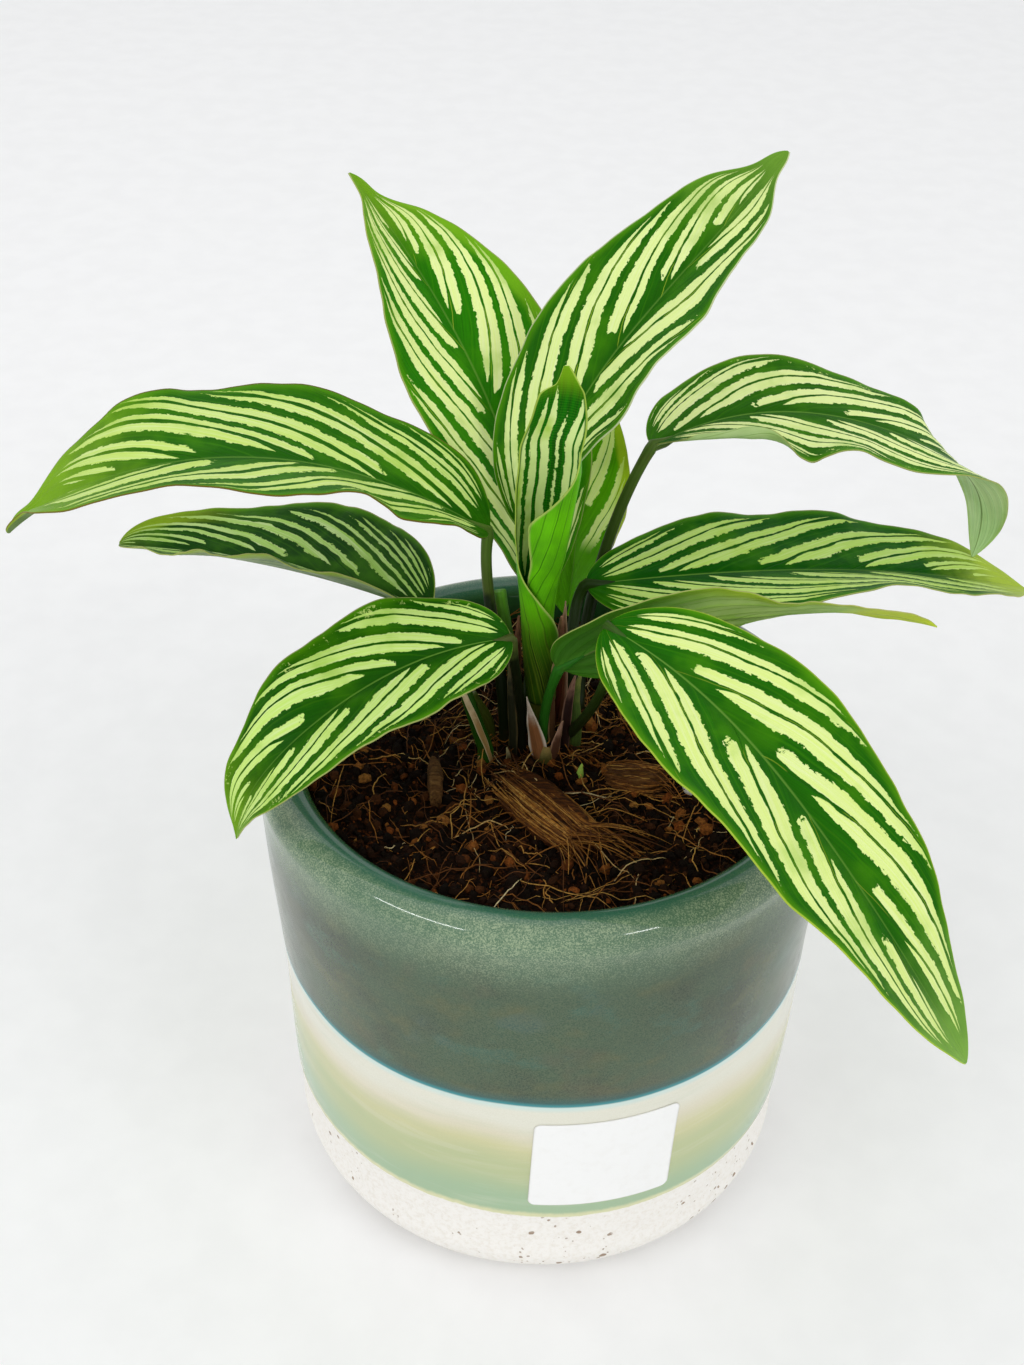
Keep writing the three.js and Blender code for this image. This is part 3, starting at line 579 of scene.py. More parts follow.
def leafBlade(leaf, seed):
    rows, columns = bladeSet["rows"], bladeSet["columns"]
    u = np.linspace(0, 1, rows)
    s = 0.0015 + 0.997 * (u - 0.08 * np.sin(2 * np.pi * u))
    w = np.linspace(-1, 1, 2 * columns + 1)
    v = -(w * 0.8 + 0.2 * np.sin(w * np.pi / 2))
    grid, half = bladeGrid(leaf, s, v)
    normals = gridNormals(grid)
    leftVeins, rightVeins = leafVeins(leaf, s, v)
    veins = np.where(v[None, :] > 0, leftVeins, rightVeins)
    t = np.abs(v)[None, :]
    away = t * half[:, None]
    groove = np.exp(-(away / bladeSet["grooveWidth"]) ** 2) * (1 - s)[:, None] ** 0.5
    rib = np.exp(-(away / bladeSet["ribWidth"]) ** 2) * (1 - s)[:, None]
    body = np.clip(4 * t * (1 - t), 0, 1) * np.sqrt(outline(s, leaf["belly"]))[:, None]
    quilt = -np.cos(2 * np.pi * veins) * bladeSet["quilting"] * body
    quilt += np.cos(8 * np.pi * veins) * bladeSet["quilting"] * 0.2 * body
    draw = random.Random(seed)
    ripple = np.zeros_like(grid[..., 0])
    for count in (5, 7.3, 11, 16.5):
        for side in (1, -1):
            wave = np.sin(2 * np.pi * (count * s[:, None] + draw.random()) + 1.5 * t)
            ripple += np.where(v[None, :] * side > 0, wave, 0) * t ** 3 * bladeSet["ripple"] * 4 / (count + 3)
    ripple *= np.sqrt(outline(s, leaf["belly"]))[:, None]
    lift = quilt + ripple
    thick = bladeSet["thickness"] + (bladeSet["edgeThickness"] - bladeSet["thickness"]) * t ** 2
    thick = thick * np.ones_like(lift)
    upper = grid + normals * (thick / 2 + lift - groove * bladeSet["grooveDepth"])[..., None]
    lower = grid + normals * (-thick / 2 + lift - rib * bladeSet["ribHeight"])[..., None]
    points, faces, cells, kinds = closedSheet(upper, lower)
    uvMaps = {"veins": [], "blade": []}
    for corners, column in cells:
        chosen = leftVeins if column < columns else rightVeins
        uvMaps["veins"] += [(chosen[i, j], abs(v[j])) for i, j in corners]
        uvMaps["blade"] += [(s[i], 0.5 + v[j] / 2) for i, j in corners]
    return points, faces, kinds, uvMaps


def plantedPath(foot, top, rise, arrive, bend, count):
    # from under the soil, out of it along rise and into the top along arrive
    bottom = np.array([*foot, soilSet["level"] - soilSet["stalkDepth"]])
    ground = np.array([*foot, soilSet["level"] + soilSet["stalkRise"]])
    reach = np.linalg.norm(top - ground)
    below = bottom + (ground - bottom) * np.linspace(0, 0.9, 5)[:, None]
    curve = bezier(ground, ground + rise * reach * 0.4, top - arrive * reach * bend, top, count)
    return np.concatenate([below, curve])


def leafStalk(leaf):
    heading = math.radians(leaf["heading"][0])
    pitch = math.radians(leaf.get("neckPitch", leaf["pitch"][0]))
    flat = math.cos(pitch)
    forward = np.array([flat * math.cos(heading), flat * math.sin(heading), math.sin(pitch)])
    rise = np.array([*leaf.get("lean", (0, 0)), 1.0])
    rise /= np.linalg.norm(rise)
    base = np.array(leaf["base"], float)
    path = plantedPath(leaf["foot"], base, rise, forward, bladeSet["neckBend"], 44)
    up = frameAt(leaf, np.array([0.03]))[2][0]
    under = midribAt(leaf, np.array([0.03, 0.05, 0.075])) - up * leaf["neckRadius"] * 0.5
    path = np.concatenate([path, under])
    lengths = np.concatenate([[0], np.cumsum(np.linalg.norm(np.diff(path, axis=0), axis=1))])
    share = lengths / lengths[-1]
    radii = leaf["footRadius"] + (leaf["neckRadius"] - leaf["footRadius"]) * np.minimum(share * 1.3, 1)
    joint = np.exp(-((lengths[-1] - lengths - 7) / 4.5) ** 2)
    radii = radii * (0.86 + 0.2 * joint)
    radii[-3:] *= (0.75, 0.55, 0.3)
    return tubeMesh(path, radii, 16, groove=0.16)


# leaf materials: pale bars in pairs along the side veins, on deep green

barSet = {
    "width": 0.37, "line": 0.03, "first": 0.04, "last": 1.02, "shorten": 0.3, "fade": 0.99,
    "steps": 0.06, "ragged": 0.08, "serrated": 0.07, "wobble": 0.16,
}
leafSet = {
    "roughness": 0.36, "specular": 0.04, "underRoughness": 0.5, "underSpecular": 0.05,
    "shadow": "#0b2405", "ribTone": "#6d9a3c", "underBar": "#b5c88c", "underRib": "#6f8a45",
    "paleEdge": "#b9b873", "freshEdge": "#62a50c", "fleckColour": "#cfe680", "cream": "#f2f7d4",
    "coreTone": "#a3bf36",
    "underPale": "#7f9a5c", "underDeep": "#4c6d2a", "underLine": "#2f3f1c", "underEdge": "#9fbe2c",
    "veinBump": 0.35, "cellBump": 0.18, "fineBump": 0.3, "bumpHeight": 0.0005,
    "stalkTones": ((0.0, "#241a0e"), (0.15, "#1d2a10"), (0.55, "#24380f")),
    "stalkFrom": 124.0, "stalkTo": 190.0, "stalkStreak": "#140c06", "stalkBlot": "#5a4020",
}


def barProfile(tree, take, firstDraw, lastDraw):
    # how far the bar has opened at this place along its side vein: 0 outside it, up to 1
    t, share = take["Along"], take["Share"]
    nearReach, farReach = bladeSet["reach"]
    reach = timesPlus(tree, t, nearReach, times(tree, calc(tree, "POWER", t, 3.0), farReach))
    origin = calc(tree, "SUBTRACT", share, reach)
    beyond = calc(tree, "POWER", calc(tree, "MAXIMUM", calc(tree, "SUBTRACT", origin, 0.1), 0.0), 2.0)
    last = timesPlus(tree, beyond, -barSet["shorten"], take["Last"])
    last = timesPlus(tree, lastDraw, -0.07, last)
    first = timesPlus(tree, firstDraw, 0.09, take["First"])
    whole = calc(tree, "MAXIMUM", calc(tree, "SUBTRACT", last, first), 0.02)
    done = calc(tree, "DIVIDE", calc(tree, "SUBTRACT", t, first), whole, clamp=True)
    grow = calc(tree, "POWER", calc(tree, "MULTIPLY", done, 6.5, clamp=True), 0.5)
    fall = calc(tree, "POWER", mapRange(tree, done, 0.72, 1.0, kind="LINEAR"), 1.5)
    profile = times(tree, grow, calc(tree, "SUBTRACT", 1.0, fall))
    # no bars at the very base and past the fade near the tip
    profile = times(tree, profile, mapRange(tree, share, 0.012, 0.07))
    low = calc(tree, "SUBTRACT", take["Fade"], 0.12)
    return times(tree, profile, mapRange(tree, share, low, take["Fade"], 1.0, 0.0))


def raggedEdge(tree, place, cells):
    # small steps from cells, softer waves and fine teeth
    step = addNode(tree, "ShaderNodeSeparateColor", {0: cells["Color"]}).outputs[0]
    rough = times(tree, calc(tree, "SUBTRACT", step, 0.5), barSet["steps"])
    rough = nudged(tree, rough, noiseAt(tree, place, 0.55, 3.0, 0.65), barSet["ragged"])
    return nudged(tree, rough, noiseAt(tree, place, 1.5, 2.0, 0.6), barSet["serrated"])


def makeBarsGroup():
    # Veins counts the pairs of bars, Along runs out along a side vein and Share along the blade
    tree, take, give = newGroup("leafBars", {
        "NodeSocketFloat": ("Veins", "Along", "Share", "Seed", "Width", "Line", "First", "Last", "Fade"),
        "NodeSocketVector": ("Place",),
    }, ("Bars", "Lines", "Core", "Between", "Fine", "Tone", "Cells"))
    veins, place, seed = take["Veins"], take["Place"], take["Seed"]
    pair = nudged(tree, veins, noiseAt(tree, scaled(tree, place, (0.11,) * 3), 1.0, 1.0), barSet["wobble"])
    fromPair = calc(tree, "SUBTRACT", calc(tree, "FRACT", pair), 0.5)
    away = calc(tree, "ABSOLUTE", fromPair)
    number = timesPlus(tree, calc(tree, "FLOOR", pair), 2.0, calc(tree, "GREATER_THAN", fromPair, 0.0))
    cell = {"Vector": joinVector(tree, number, seed)}
    draw = addNode(tree, "ShaderNodeTexWhiteNoise", cell, noise_dimensions="2D").outputs["Color"]
    firstDraw, lastDraw, widthDraw = addNode(tree, "ShaderNodeSeparateColor", {0: draw}).outputs

    profile = barProfile(tree, take, firstDraw, lastDraw)
    cells = addNode(tree, "ShaderNodeTexVoronoi", {"Vector": place, "Scale": 0.85}).outputs
    rough = raggedEdge(tree, place, cells)
    width = times(tree, take["Width"], timesPlus(tree, widthDraw, 0.28, 0.84))
    outer = calc(tree, "ADD", times(tree, width, profile), rough)
    inner = times(tree, take["Line"], timesPlus(tree, noiseAt(tree, place, 0.16, 2.0), 2.2, 0.05))
    taper = times(tree, calc(tree, "SUBTRACT", 1.0, profile), 0.1)
    inner = calc(tree, "ADD", inner, timesPlus(tree, rough, 0.2, taper))
    inside = mapRange(tree, calc(tree, "SUBTRACT", outer, away), 0.0, 0.02)
    inside = times(tree, inside, mapRange(tree, calc(tree, "SUBTRACT", away, inner), 0.0, 0.016))
    broken = mapRange(tree, noiseAt(tree, place, 0.11, 1.0), 0.45, 0.55)
    stretched = joinVector(tree, times(tree, veins, 21.0), times(tree, take["Along"], 2.5), seed)
    for label, value in {
        "Bars": times(tree, inside, mapRange(tree, profile, 0.05, 0.14)),
        "Lines": mapRange(tree, away, 0.0, 0.03, 1.0, 0.0),
        "Core": times(tree, mapRange(tree, away, 0.006, 0.02, 1.0, 0.0), broken),
        "Between": mapRange(tree, away, 0.46, 0.5),
        "Fine": noiseAt(tree, stretched, 1.0, 3.0, 0.7),
        "Tone": noiseAt(tree, place, 0.07, 3.0, 0.6),
        "Cells": cells["Distance"],
    }.items():
        link(tree, give[label], value)
    return tree


def placeInMm(tree):
    place = addNode(tree, "ShaderNodeTexCoord").outputs["Object"]
    return scaled(tree, place, (1000.0,) * 3)


def uvPair(tree, label):
    return splitVector(tree, addNode(tree, "ShaderNodeUVMap", uv_map=label).outputs[0])


def leafCoordinates(tree, group, leaf, seed):
    veins, t, _ = uvPair(tree, "veins")
    share, across, _ = uvPair(tree, "blade")
    inputs = {"Veins": veins, "Along": t, "Share": share, "Place": placeInMm(tree), "Seed": float(seed)}
    for label in ("Width", "Line", "First", "Last", "Fade"):
        inputs[label] = leaf.get("bar" + label, barSet[label.lower()])
    return t, share, across, useGroup(tree, group, inputs)


def greenGround(tree, leaf, t, share, bars):
    # deep green with darker side veins, fresher between the pairs and toward the edge
    calmBase = times(tree, mapRange(tree, share, 0.35, 0.6, 1.0, 0.0), leaf.get("calm", 0.0))
    between = times(tree, bars["Between"], calc(tree, "SUBTRACT", 1.0, calmBase))
    deep = mixColour(tree, 0.38, leaf["green"], leafSet["shadow"])
    fresh = mixColour(tree, 0.3, leaf["green"], leafSet["freshEdge"])
    return layered(
        tree, leaf["green"],
        (mapRange(tree, bars["Fine"], 0.3, 0.72), deep),
        (mapRange(tree, bars["Tone"], 0.42, 0.72, 0.0, 0.8), fresh),
        (mapRange(tree, t, 0.0, 0.2, 0.5, 0.0), deep),
        (times(tree, between, 0.35), fresh),
        (times(tree, bars["Lines"], 0.7), deep),
        (times(tree, bars["Core"], leaf.get("core", 0.0)), leafSet["coreTone"]),
        (mapRange(tree, t, 0.88, 1.0, 0.0, 0.5), leafSet["freshEdge"]),
    )


def paleBars(tree, leaf, t, bars):
    warm = mixColour(tree, 0.55, leaf["lime"], leaf["tip"])
    return layered(
        tree, leaf["lime"],
        (mapRange(tree, bars["Fine"], 0.35, 0.8, 0.0, 0.5), leafSet["cream"]),
        (mapRange(tree, bars["Tone"], 0.52, 0.78, 0.0, 0.75), warm),
        (mapRange(tree, t, 0.72, 1.0, 0.0, 0.6), warm),
    )


def fleckMask(tree, leaf, t):
    # pale flecks in a strip inside the edge
    place = placeInMm(tree)
    near = times(tree, mapRange(tree, t, 0.78, 0.86), mapRange(tree, t, 0.93, 0.97, 1.0, 0.0))
    spots = timesPlus(tree, noiseAt(tree, place, 0.12, 1.0), 0.5, noiseAt(tree, place, 0.75, 4.0, 0.75))
    return times(tree, times(tree, mapRange(tree, spots, 0.86, 0.93), near), leaf["flecks"])


def bandMask(tree, band, t, share, across, tone, barMask):
    # a fresh green band along the edge of one side
    ends = (1.0, 0.0) if band["side"] == "right" else (0.0, 1.0)
    mask = mapRange(tree, across, 0.499, 0.501, *ends)
    mask = times(tree, mask, mapRange(tree, share, band["from"] - 0.1, band["from"] + 0.12))
    outward = timesPlus(tree, tone, 0.2, t)
    mask = times(tree, mask, mapRange(tree, outward, band["inner"] + 0.05, band["inner"] + 0.2))
    return times(tree, times(tree, mask, timesPlus(tree, barMask, -0.5, 1.0)), 0.8)


def upperMaterial(leaf, group, seed):
    material, tree, sockets = newMaterial(leaf["name"] + "_upper", leafSet["roughness"], leafSet["specular"])
    t, share, across, bars = leafCoordinates(tree, group, leaf, seed)
    barMask = bars["Bars"]
    if "barsFrom" in leaf:
        start = leaf["barsFrom"]
        barMask = times(tree, barMask, mapRange(tree, share, start - 0.03, start + 0.06))
    shade = mixColour(tree, barMask, greenGround(tree, leaf, t, share, bars), paleBars(tree, leaf, t, bars))
    if "flecks" in leaf:
        shade = mixColour(tree, fleckMask(tree, leaf, t), shade, leafSet["fleckColour"])
    if "band" in leaf:
        mask = bandMask(tree, leaf["band"], t, share, across, bars["Tone"], barMask)
        shade = mixColour(tree, mask, shade, leaf["band"]["tone"])

    # the tip fades to plain fresh green, and the edge is a thin pale line
    start = leaf["tipStart"]
    tipMask = mapRange(tree, timesPlus(tree, bars["Tone"], 0.2, share), start - 0.12, start + 0.16)
    tipMask = times(tree, tipMask, timesPlus(tree, barMask, -0.65, 1.0))
    rib = mapRange(tree, t, 0.004, 0.02, 1.0, 0.0)
    ribFade = mapRange(tree, share, 0.0, 0.9, 0.75, 0.35)
    link(tree, sockets["Base Color"], layered(
        tree, shade,
        (times(tree, tipMask, 0.85), leaf["tip"]),
        (times(tree, mapRange(tree, t, 0.98, 0.996), 0.7), leaf.get("rim", leafSet["paleEdge"])),
        (times(tree, rib, ribFade), leafSet["ribTone"]),
    ))
    height = timesPlus(tree, bars["Fine"], 0.5, times(tree, bars["Lines"], -0.9))
    height = timesPlus(tree, bars["Cells"], leafSet["cellBump"], height)
    addBump(tree, sockets, height, leafSet["veinBump"], leafSet["bumpHeight"])
    return material


def underMaterial(leaf, group, seed):
    name = leaf["name"] + "_under"
    material, tree, sockets = newMaterial(name, leafSet["underRoughness"], leafSet["underSpecular"])
    t, share, _, bars = leafCoordinates(tree, group, leaf, seed)
    pale, deep, line = (leaf.get(key, leafSet[key]) for key in ("underPale", "underDeep", "underLine"))
    lines = calc(tree, "MAXIMUM", bars["Lines"], times(tree, bars["Between"], 0.8))
    shade = layered(
        tree, pale,
        (mapRange(tree, bars["Tone"], 0.3, 0.7), deep),
        (mapRange(tree, bars["Fine"], 0.35, 0.75, 0.0, 0.45), deep),
        (times(tree, bars["Bars"], 0.3), leafSet["underBar"]),
        (times(tree, lines, 0.75), line),
        (mapRange(tree, t, 0.7, 0.98, 0.0, leaf.get("underRim", 0.85)), leafSet["underEdge"]),
    )
    # painted shade: the underside goes dark green toward the base
    if "underShadedBase" in leaf:
        shade = layered(
            tree, shade,
            (mapRange(tree, share, 0.2, 0.42, 0.9, 0.0), leaf["underShadedBase"]),
            (mapRange(tree, share, 0.7, 0.8, 0.0, 0.9), leaf["underTip"]),
        )
    shade = mixColour(tree, mapRange(tree, t, 0.01, 0.05, 0.8, 0.0), shade, leafSet["underRib"])
    link(tree, sockets["Base Color"], shade)
    height = timesPlus(tree, bars["Fine"], 0.4, lines)
    addBump(tree, sockets, height, leafSet["veinBump"], leafSet["bumpHeight"])
    return material


def stalkMaterial(name, tones, low=leafSet["stalkFrom"], high=leafSet["stalkTo"]):
    # colour follows the height above the ground, with fine streaks along the stalk
    material, tree, sockets = newMaterial(name, 0.34, 0.12)
    place = placeInMm(tree)
    lengthwise, around, _ = uvPair(tree, "tube")
    streaks = noiseAt(tree, joinVector(tree, times(tree, around, 16.0), lengthwise), 1.6, 3.0, 0.65)
    blot = noiseAt(tree, place, 0.16, 2.0)
    level = nudged(tree, splitVector(tree, place)[2], blot, 14.0)
    shade = rampOf(tree, mapRange(tree, level, low, high, kind="LINEAR"), tones)
    link(tree, sockets["Base Color"], layered(
        tree, shade,
        (mapRange(tree, streaks, 0.32, 0.7, 0.0, 0.6), mixColour(tree, 0.45, shade, leafSet["stalkStreak"])),
        (mapRange(tree, blot, 0.6, 0.8, 0.0, 0.25), leafSet["stalkBlot"]),
    ))
    addBump(tree, sockets, streaks, leafSet["fineBump"], leafSet["bumpHeight"])
    return material


def grownPiece(leaf, blade, stalk, materials):
    # the blade and its stalk as one piece, where the stalk has the third material
    points, faces, kinds, uvMaps = blade
    stalkPoints, stalkFaces, stalkPairs = stalk
    blank = [(0.0, 0.0)]
    bladeCorners = len(uvMaps["veins"])
    uvMaps = {label: pairs + blank * len(stalkPairs) for label, pairs in uvMaps.items()}
    uvMaps["tube"] = blank * bladeCorners + stalkPairs
    faces = faces + [[n + len(points) for n in face] for face in stalkFaces]
    kinds = kinds + [2] * len(stalkFaces)
    points = np.concatenate([points, stalkPoints])
    makePiece(leaf["name"] + "_grown", points, faces, materials, [leaf["name"]], kinds, uvMaps)


def makeLeaf(leaf, seed, group):
    tones = leaf.get("stalkTones", (*leafSet["stalkTones"], (1.0, leaf.get("stalk"))))
    materials = [
        upperMaterial(leaf, group, seed), underMaterial(leaf, group, seed),
        stalkMaterial(leaf["name"] + "_stalk", tones),
    ]
    grownPiece(leaf, leafBlade(leaf, seed), leafStalk(leaf), materials)


# the youngest leaf, rolled into a cone that opens at its top

rolledLeaf = {
    "name": "leaf_rolled", "foot": (-2.6, 6.8), "footRadius": 2.4, "stalkTop": (-2.6, 6, 151),
    "thickness": 0.5, "layerGap": 1.5, "rows": 150, "columns": 81,
    # height, middle x and y, radius, left edge and right edge in degrees from the back
    "rings": (
        (145, -2.4, 6.2, 2.8, -290, 165), (155, -3, 5.6, 3.1, -282, 190), (165, -3.3, 5, 3.6, -268, 225),
        (172, -3.4, 4.6, 3.9, -230, 240), (179, -3.4, 4.2, 4.4, -180, 235), (185, -3.2, 3.8, 5.1, -132, 225),
        (190, -2.9, 3.4, 5.8, -96, 216), (201, -2.6, 2.6, 6.7, -84, 222), (208, -2.2, 2, 7.1, -78, 172),
        (214, -1.8, 1.4, 7.4, -72, 128), (219, -1.7, 1, 7.3, -66, 92), (226, 0.1, 0.1, 7.8, -54, 55),
        (232, 0.9, -0.7, 7.7, -44, 39), (234, 1, -1, 7.5, -15, 30), (239, 1, -1.6, 7, -3, 7),
    ),
    "midribTurn": 14, "pairMiddle": 4.4, "pairStep": 6.4,
    "bars": {"Seed": 77.0, "Share": 0.4, "Width": 0.41, "Line": 0.05, "First": 0.1, "Last": 1.0, "Fade": 5.0},
    "barsFrom": 178, "barsTo": 238, "tipFrom": 229.0, "tipTo": 238.0,
    "green": "#0a7402", "deep": "#0c3a06", "weave": "#4d8f1f", "lime": "#e2f5a4", "warm": "#a9cf3a",
    # the last two heights here are where the painted shade on the lower outside fades out
    "tip": "#8abc1c", "edge": "#b9cf5a", "shadeFrom": 166.0, "shadeTo": 194.0,
    "outside": "#6cc80c", "outsideOlive": "#58a812", "outsideDeep": "#3c7a14", "outsideLine": "#245a0a",
    # the last two tones here are the painted shade on the lower outside and its streaks
    "outsideEdge": "#b5c46a", "dusk": "#26320c", "shadeStreak": "#7c8a2a",
    "stalkTones": ((0.0, "#3a3a14"), (0.3, "#6b7424"), (1.0, "#5b7d22")),
}


def makeRolledLeaf(group):
    leaf = rolledLeaf
    rings = np.array(leaf["rings"], float)
    rows, columns = leaf["rows"], leaf["columns"]
    u = np.linspace(0, 1, rows) * (len(rings) - 1)
    smooth = along(rings, np.linspace(0, 1, rows))
    straight = np.stack([np.interp(u, np.arange(len(rings)), rings[:, k]) for k in range(6)], 1)
    z, x, y, radius, left, right = (0.55 * smooth + 0.45 * straight).T
    share = np.linspace(0, 1, columns)[None, :]
    turn = left[:, None] + (right - left)[:, None] * share
    angle = np.radians(turn)
    out = np.stack([np.sin(angle), np.cos(angle), 0 * angle], -1)
    edge = np.abs(2 * share - 1) ** 6
    reach = radius[:, None] - leaf["layerGap"] * turn / 360
    reach = reach + 0.10 * np.sin(z[:, None] * 0.5 + turn * 0.02) * edge
    middle = np.stack([x, y, z], -1)[:, None]
    thick = leaf["thickness"] * (1 - 0.4 * edge)
    fromRib = turn - leaf["midribTurn"]
    arc = np.radians(np.abs(fromRib)) * radius[:, None]
    veins = (arc - leaf["pairMiddle"]) / leaf["pairStep"] + 0.5
    quilt = -0.1 * np.cos(2 * np.pi * veins) * (1 - edge)
    rib = 0.45 * np.exp(-(arc / 0.9) ** 2)
    upper = middle + out * (reach - thick / 2 + quilt)[..., None]
    lower = middle + out * (reach + thick / 2 + quilt + rib)[..., None]
    points, faces, cells, kinds = closedSheet(upper, lower)
    high = (z - z[0]) / (z[-1] - z[0])
    half = np.where(turn < 0, np.abs(left)[:, None], right[:, None])
    toEdge = np.clip(np.abs(turn) / np.maximum(np.abs(half), 1), 0, 1)
    corners = [corner for face, _ in cells for corner in face]
    uvMaps = {
        "veins": [(veins[i, j], toEdge[i, j]) for i, j in corners],
        "blade": [(high[i], share[0, j]) for i, j in corners],
    }
    upward = np.array([0, 0, 1.0])
    path = plantedPath(leaf["foot"], np.array(leaf["stalkTop"], float), upward, upward, 0.3, 20)
    stalk = tubeMesh(path, [leaf["footRadius"]] * len(path), 18)
    materials = [
        rolledInside(leaf, group), rolledOutside(leaf, group),
        stalkMaterial("leaf_rolled_stalk", leaf["stalkTones"]),
    ]
    grownPiece(leaf, (points, faces, kinds, uvMaps), stalk, materials)


def rolledBars(tree, group, leaf):
    # upright bars between two heights
    place = placeInMm(tree)
    height = splitVector(tree, place)[2]
    veins, t, _ = uvPair(tree, "veins")
    rise = mapRange(tree, height, leaf["barsFrom"], leaf["barsTo"], 0.1, 1.0, kind="LINEAR")
    bars = useGroup(tree, group, {"Veins": veins, "Along": rise, "Place": place, **leaf["bars"]})
    return place, height, t, bars


def rolledInside(leaf, group):
    material, tree, sockets = newMaterial("leaf_rolled_inside", 0.38, 0.05)
    place, height, t, bars = rolledBars(tree, group, leaf)
    waves = {"Vector": place, "Scale": 0.45, "Distortion": 2.0, "Detail": 1.0}
    weave = addNode(tree, "ShaderNodeTexWave", waves, bands_direction="Z").outputs["Fac"]
    green = layered(
        tree, leaf["green"],
        (mapRange(tree, bars["Fine"], 0.35, 0.75), leaf["deep"]),
        (times(tree, weave, 0.25), leaf["weave"]),
    )
    lime = mixColour(tree, mapRange(tree, bars["Tone"], 0.4, 0.7), leaf["lime"], leaf["warm"])
    clear = mapRange(tree, t, 0.86, 0.95, 1.0, 0.0)
    link(tree, sockets["Base Color"], layered(
        tree, green,
        (times(tree, bars["Bars"], clear), lime),
        (mapRange(tree, height, leaf["tipFrom"], leaf["tipTo"], 0.0, 0.7), leaf["tip"]),
        (mapRange(tree, t, 0.93, 0.99, 0.0, 0.7), leaf["edge"]),
    ))
    addBump(tree, sockets, bars["Fine"], leafSet["fineBump"], leafSet["bumpHeight"])
    return material


def rolledOutside(leaf, group):
    material, tree, sockets = newMaterial("leaf_rolled_outside", 0.42, 0.1)
    _, rise, t, bars = rolledBars(tree, group, leaf)
    lines = calc(tree, "MAXIMUM", bars["Lines"], times(tree, bars["Between"], 0.7))
    level = timesPlus(tree, bars["Tone"], 20.0, rise)
    streaks = mapRange(tree, bars["Fine"], 0.5, 0.62)
    # painted shade low on the outside, where the cone stands deep in the crown, with olive streaks in it
    shadeTone = mixColour(tree, times(tree, streaks, 0.6), leaf["dusk"], leaf["shadeStreak"])
    link(tree, sockets["Base Color"], layered(
        tree, leaf["outside"],
        (mapRange(tree, bars["Tone"], 0.35, 0.65), leaf["outsideOlive"]),
        (mapRange(tree, bars["Fine"], 0.4, 0.75, 0.0, 0.4), leaf["outsideDeep"]),
        (times(tree, lines, 0.85), leaf["outsideLine"]),
        # painted shade over the lower outside, fading out upward
        (mapRange(tree, level, leaf["shadeFrom"], leaf["shadeTo"], 0.85, 0.0), shadeTone),
        (mapRange(tree, t, 0.95, 0.995, 0.0, 0.8), leaf["outsideEdge"]),
    ))
    height = timesPlus(tree, bars["Fine"], 0.4, lines)
    addBump(tree, sockets, height, leafSet["veinBump"], leafSet["bumpHeight"])
    return material


# cut stems, dry scales and the papery sheaths of the crown

cutStems = [
    {
        "name": "cut_stem_back", "foot": (-8.2, 9.8), "top": (-13, 12.5, 173),
        "footRadius": 1.7, "topRadius": 1.6,
        "tones": ((0.0, "#2a1c10"), (0.4, "#3a4a1a"), (0.72, "#3f6a1c"), (1.0, "#5f9c2a")),
    },
    {
        "name": "cut_stem_left", "foot": (-15.2, 5.4), "top": (-19.9, 6, 145.5),
        "footRadius": 1.7, "topRadius": 1.5,
        "tones": ((0.0, "#3a2a10"), (0.3, "#3f4412"), (1.0, "#4f5c1c")),
    },
]
dryScales = [
    {
        "name": "dry_scale_front", "base": (-1.2, -4.6, 127), "heading": (156, 156, 156), "pitch": (79, 78, 78),
        "roll": (108, 108, 108), "length": 25.2, "width": 5.4, "belly": 0.3,
        "leftFold": (40, 30, 10), "rightFold": (40, 30, 10), "tones": ("#f2e4d2", "#9a6038", "#4a3812"),
    },
    {
        "name": "dry_scale_back", "base": (2.2, 8.6, 127), "heading": (60, 70, 80), "pitch": (86, 86, 82),
        "roll": (0, 0, 0), "length": 44, "width": 5, "belly": 0.35,
        "leftFold": (30, 20, 10), "rightFold": (30, 20, 10), "tones": ("#c9a184", "#9c5a3c", "#4a2416"),
    },
]
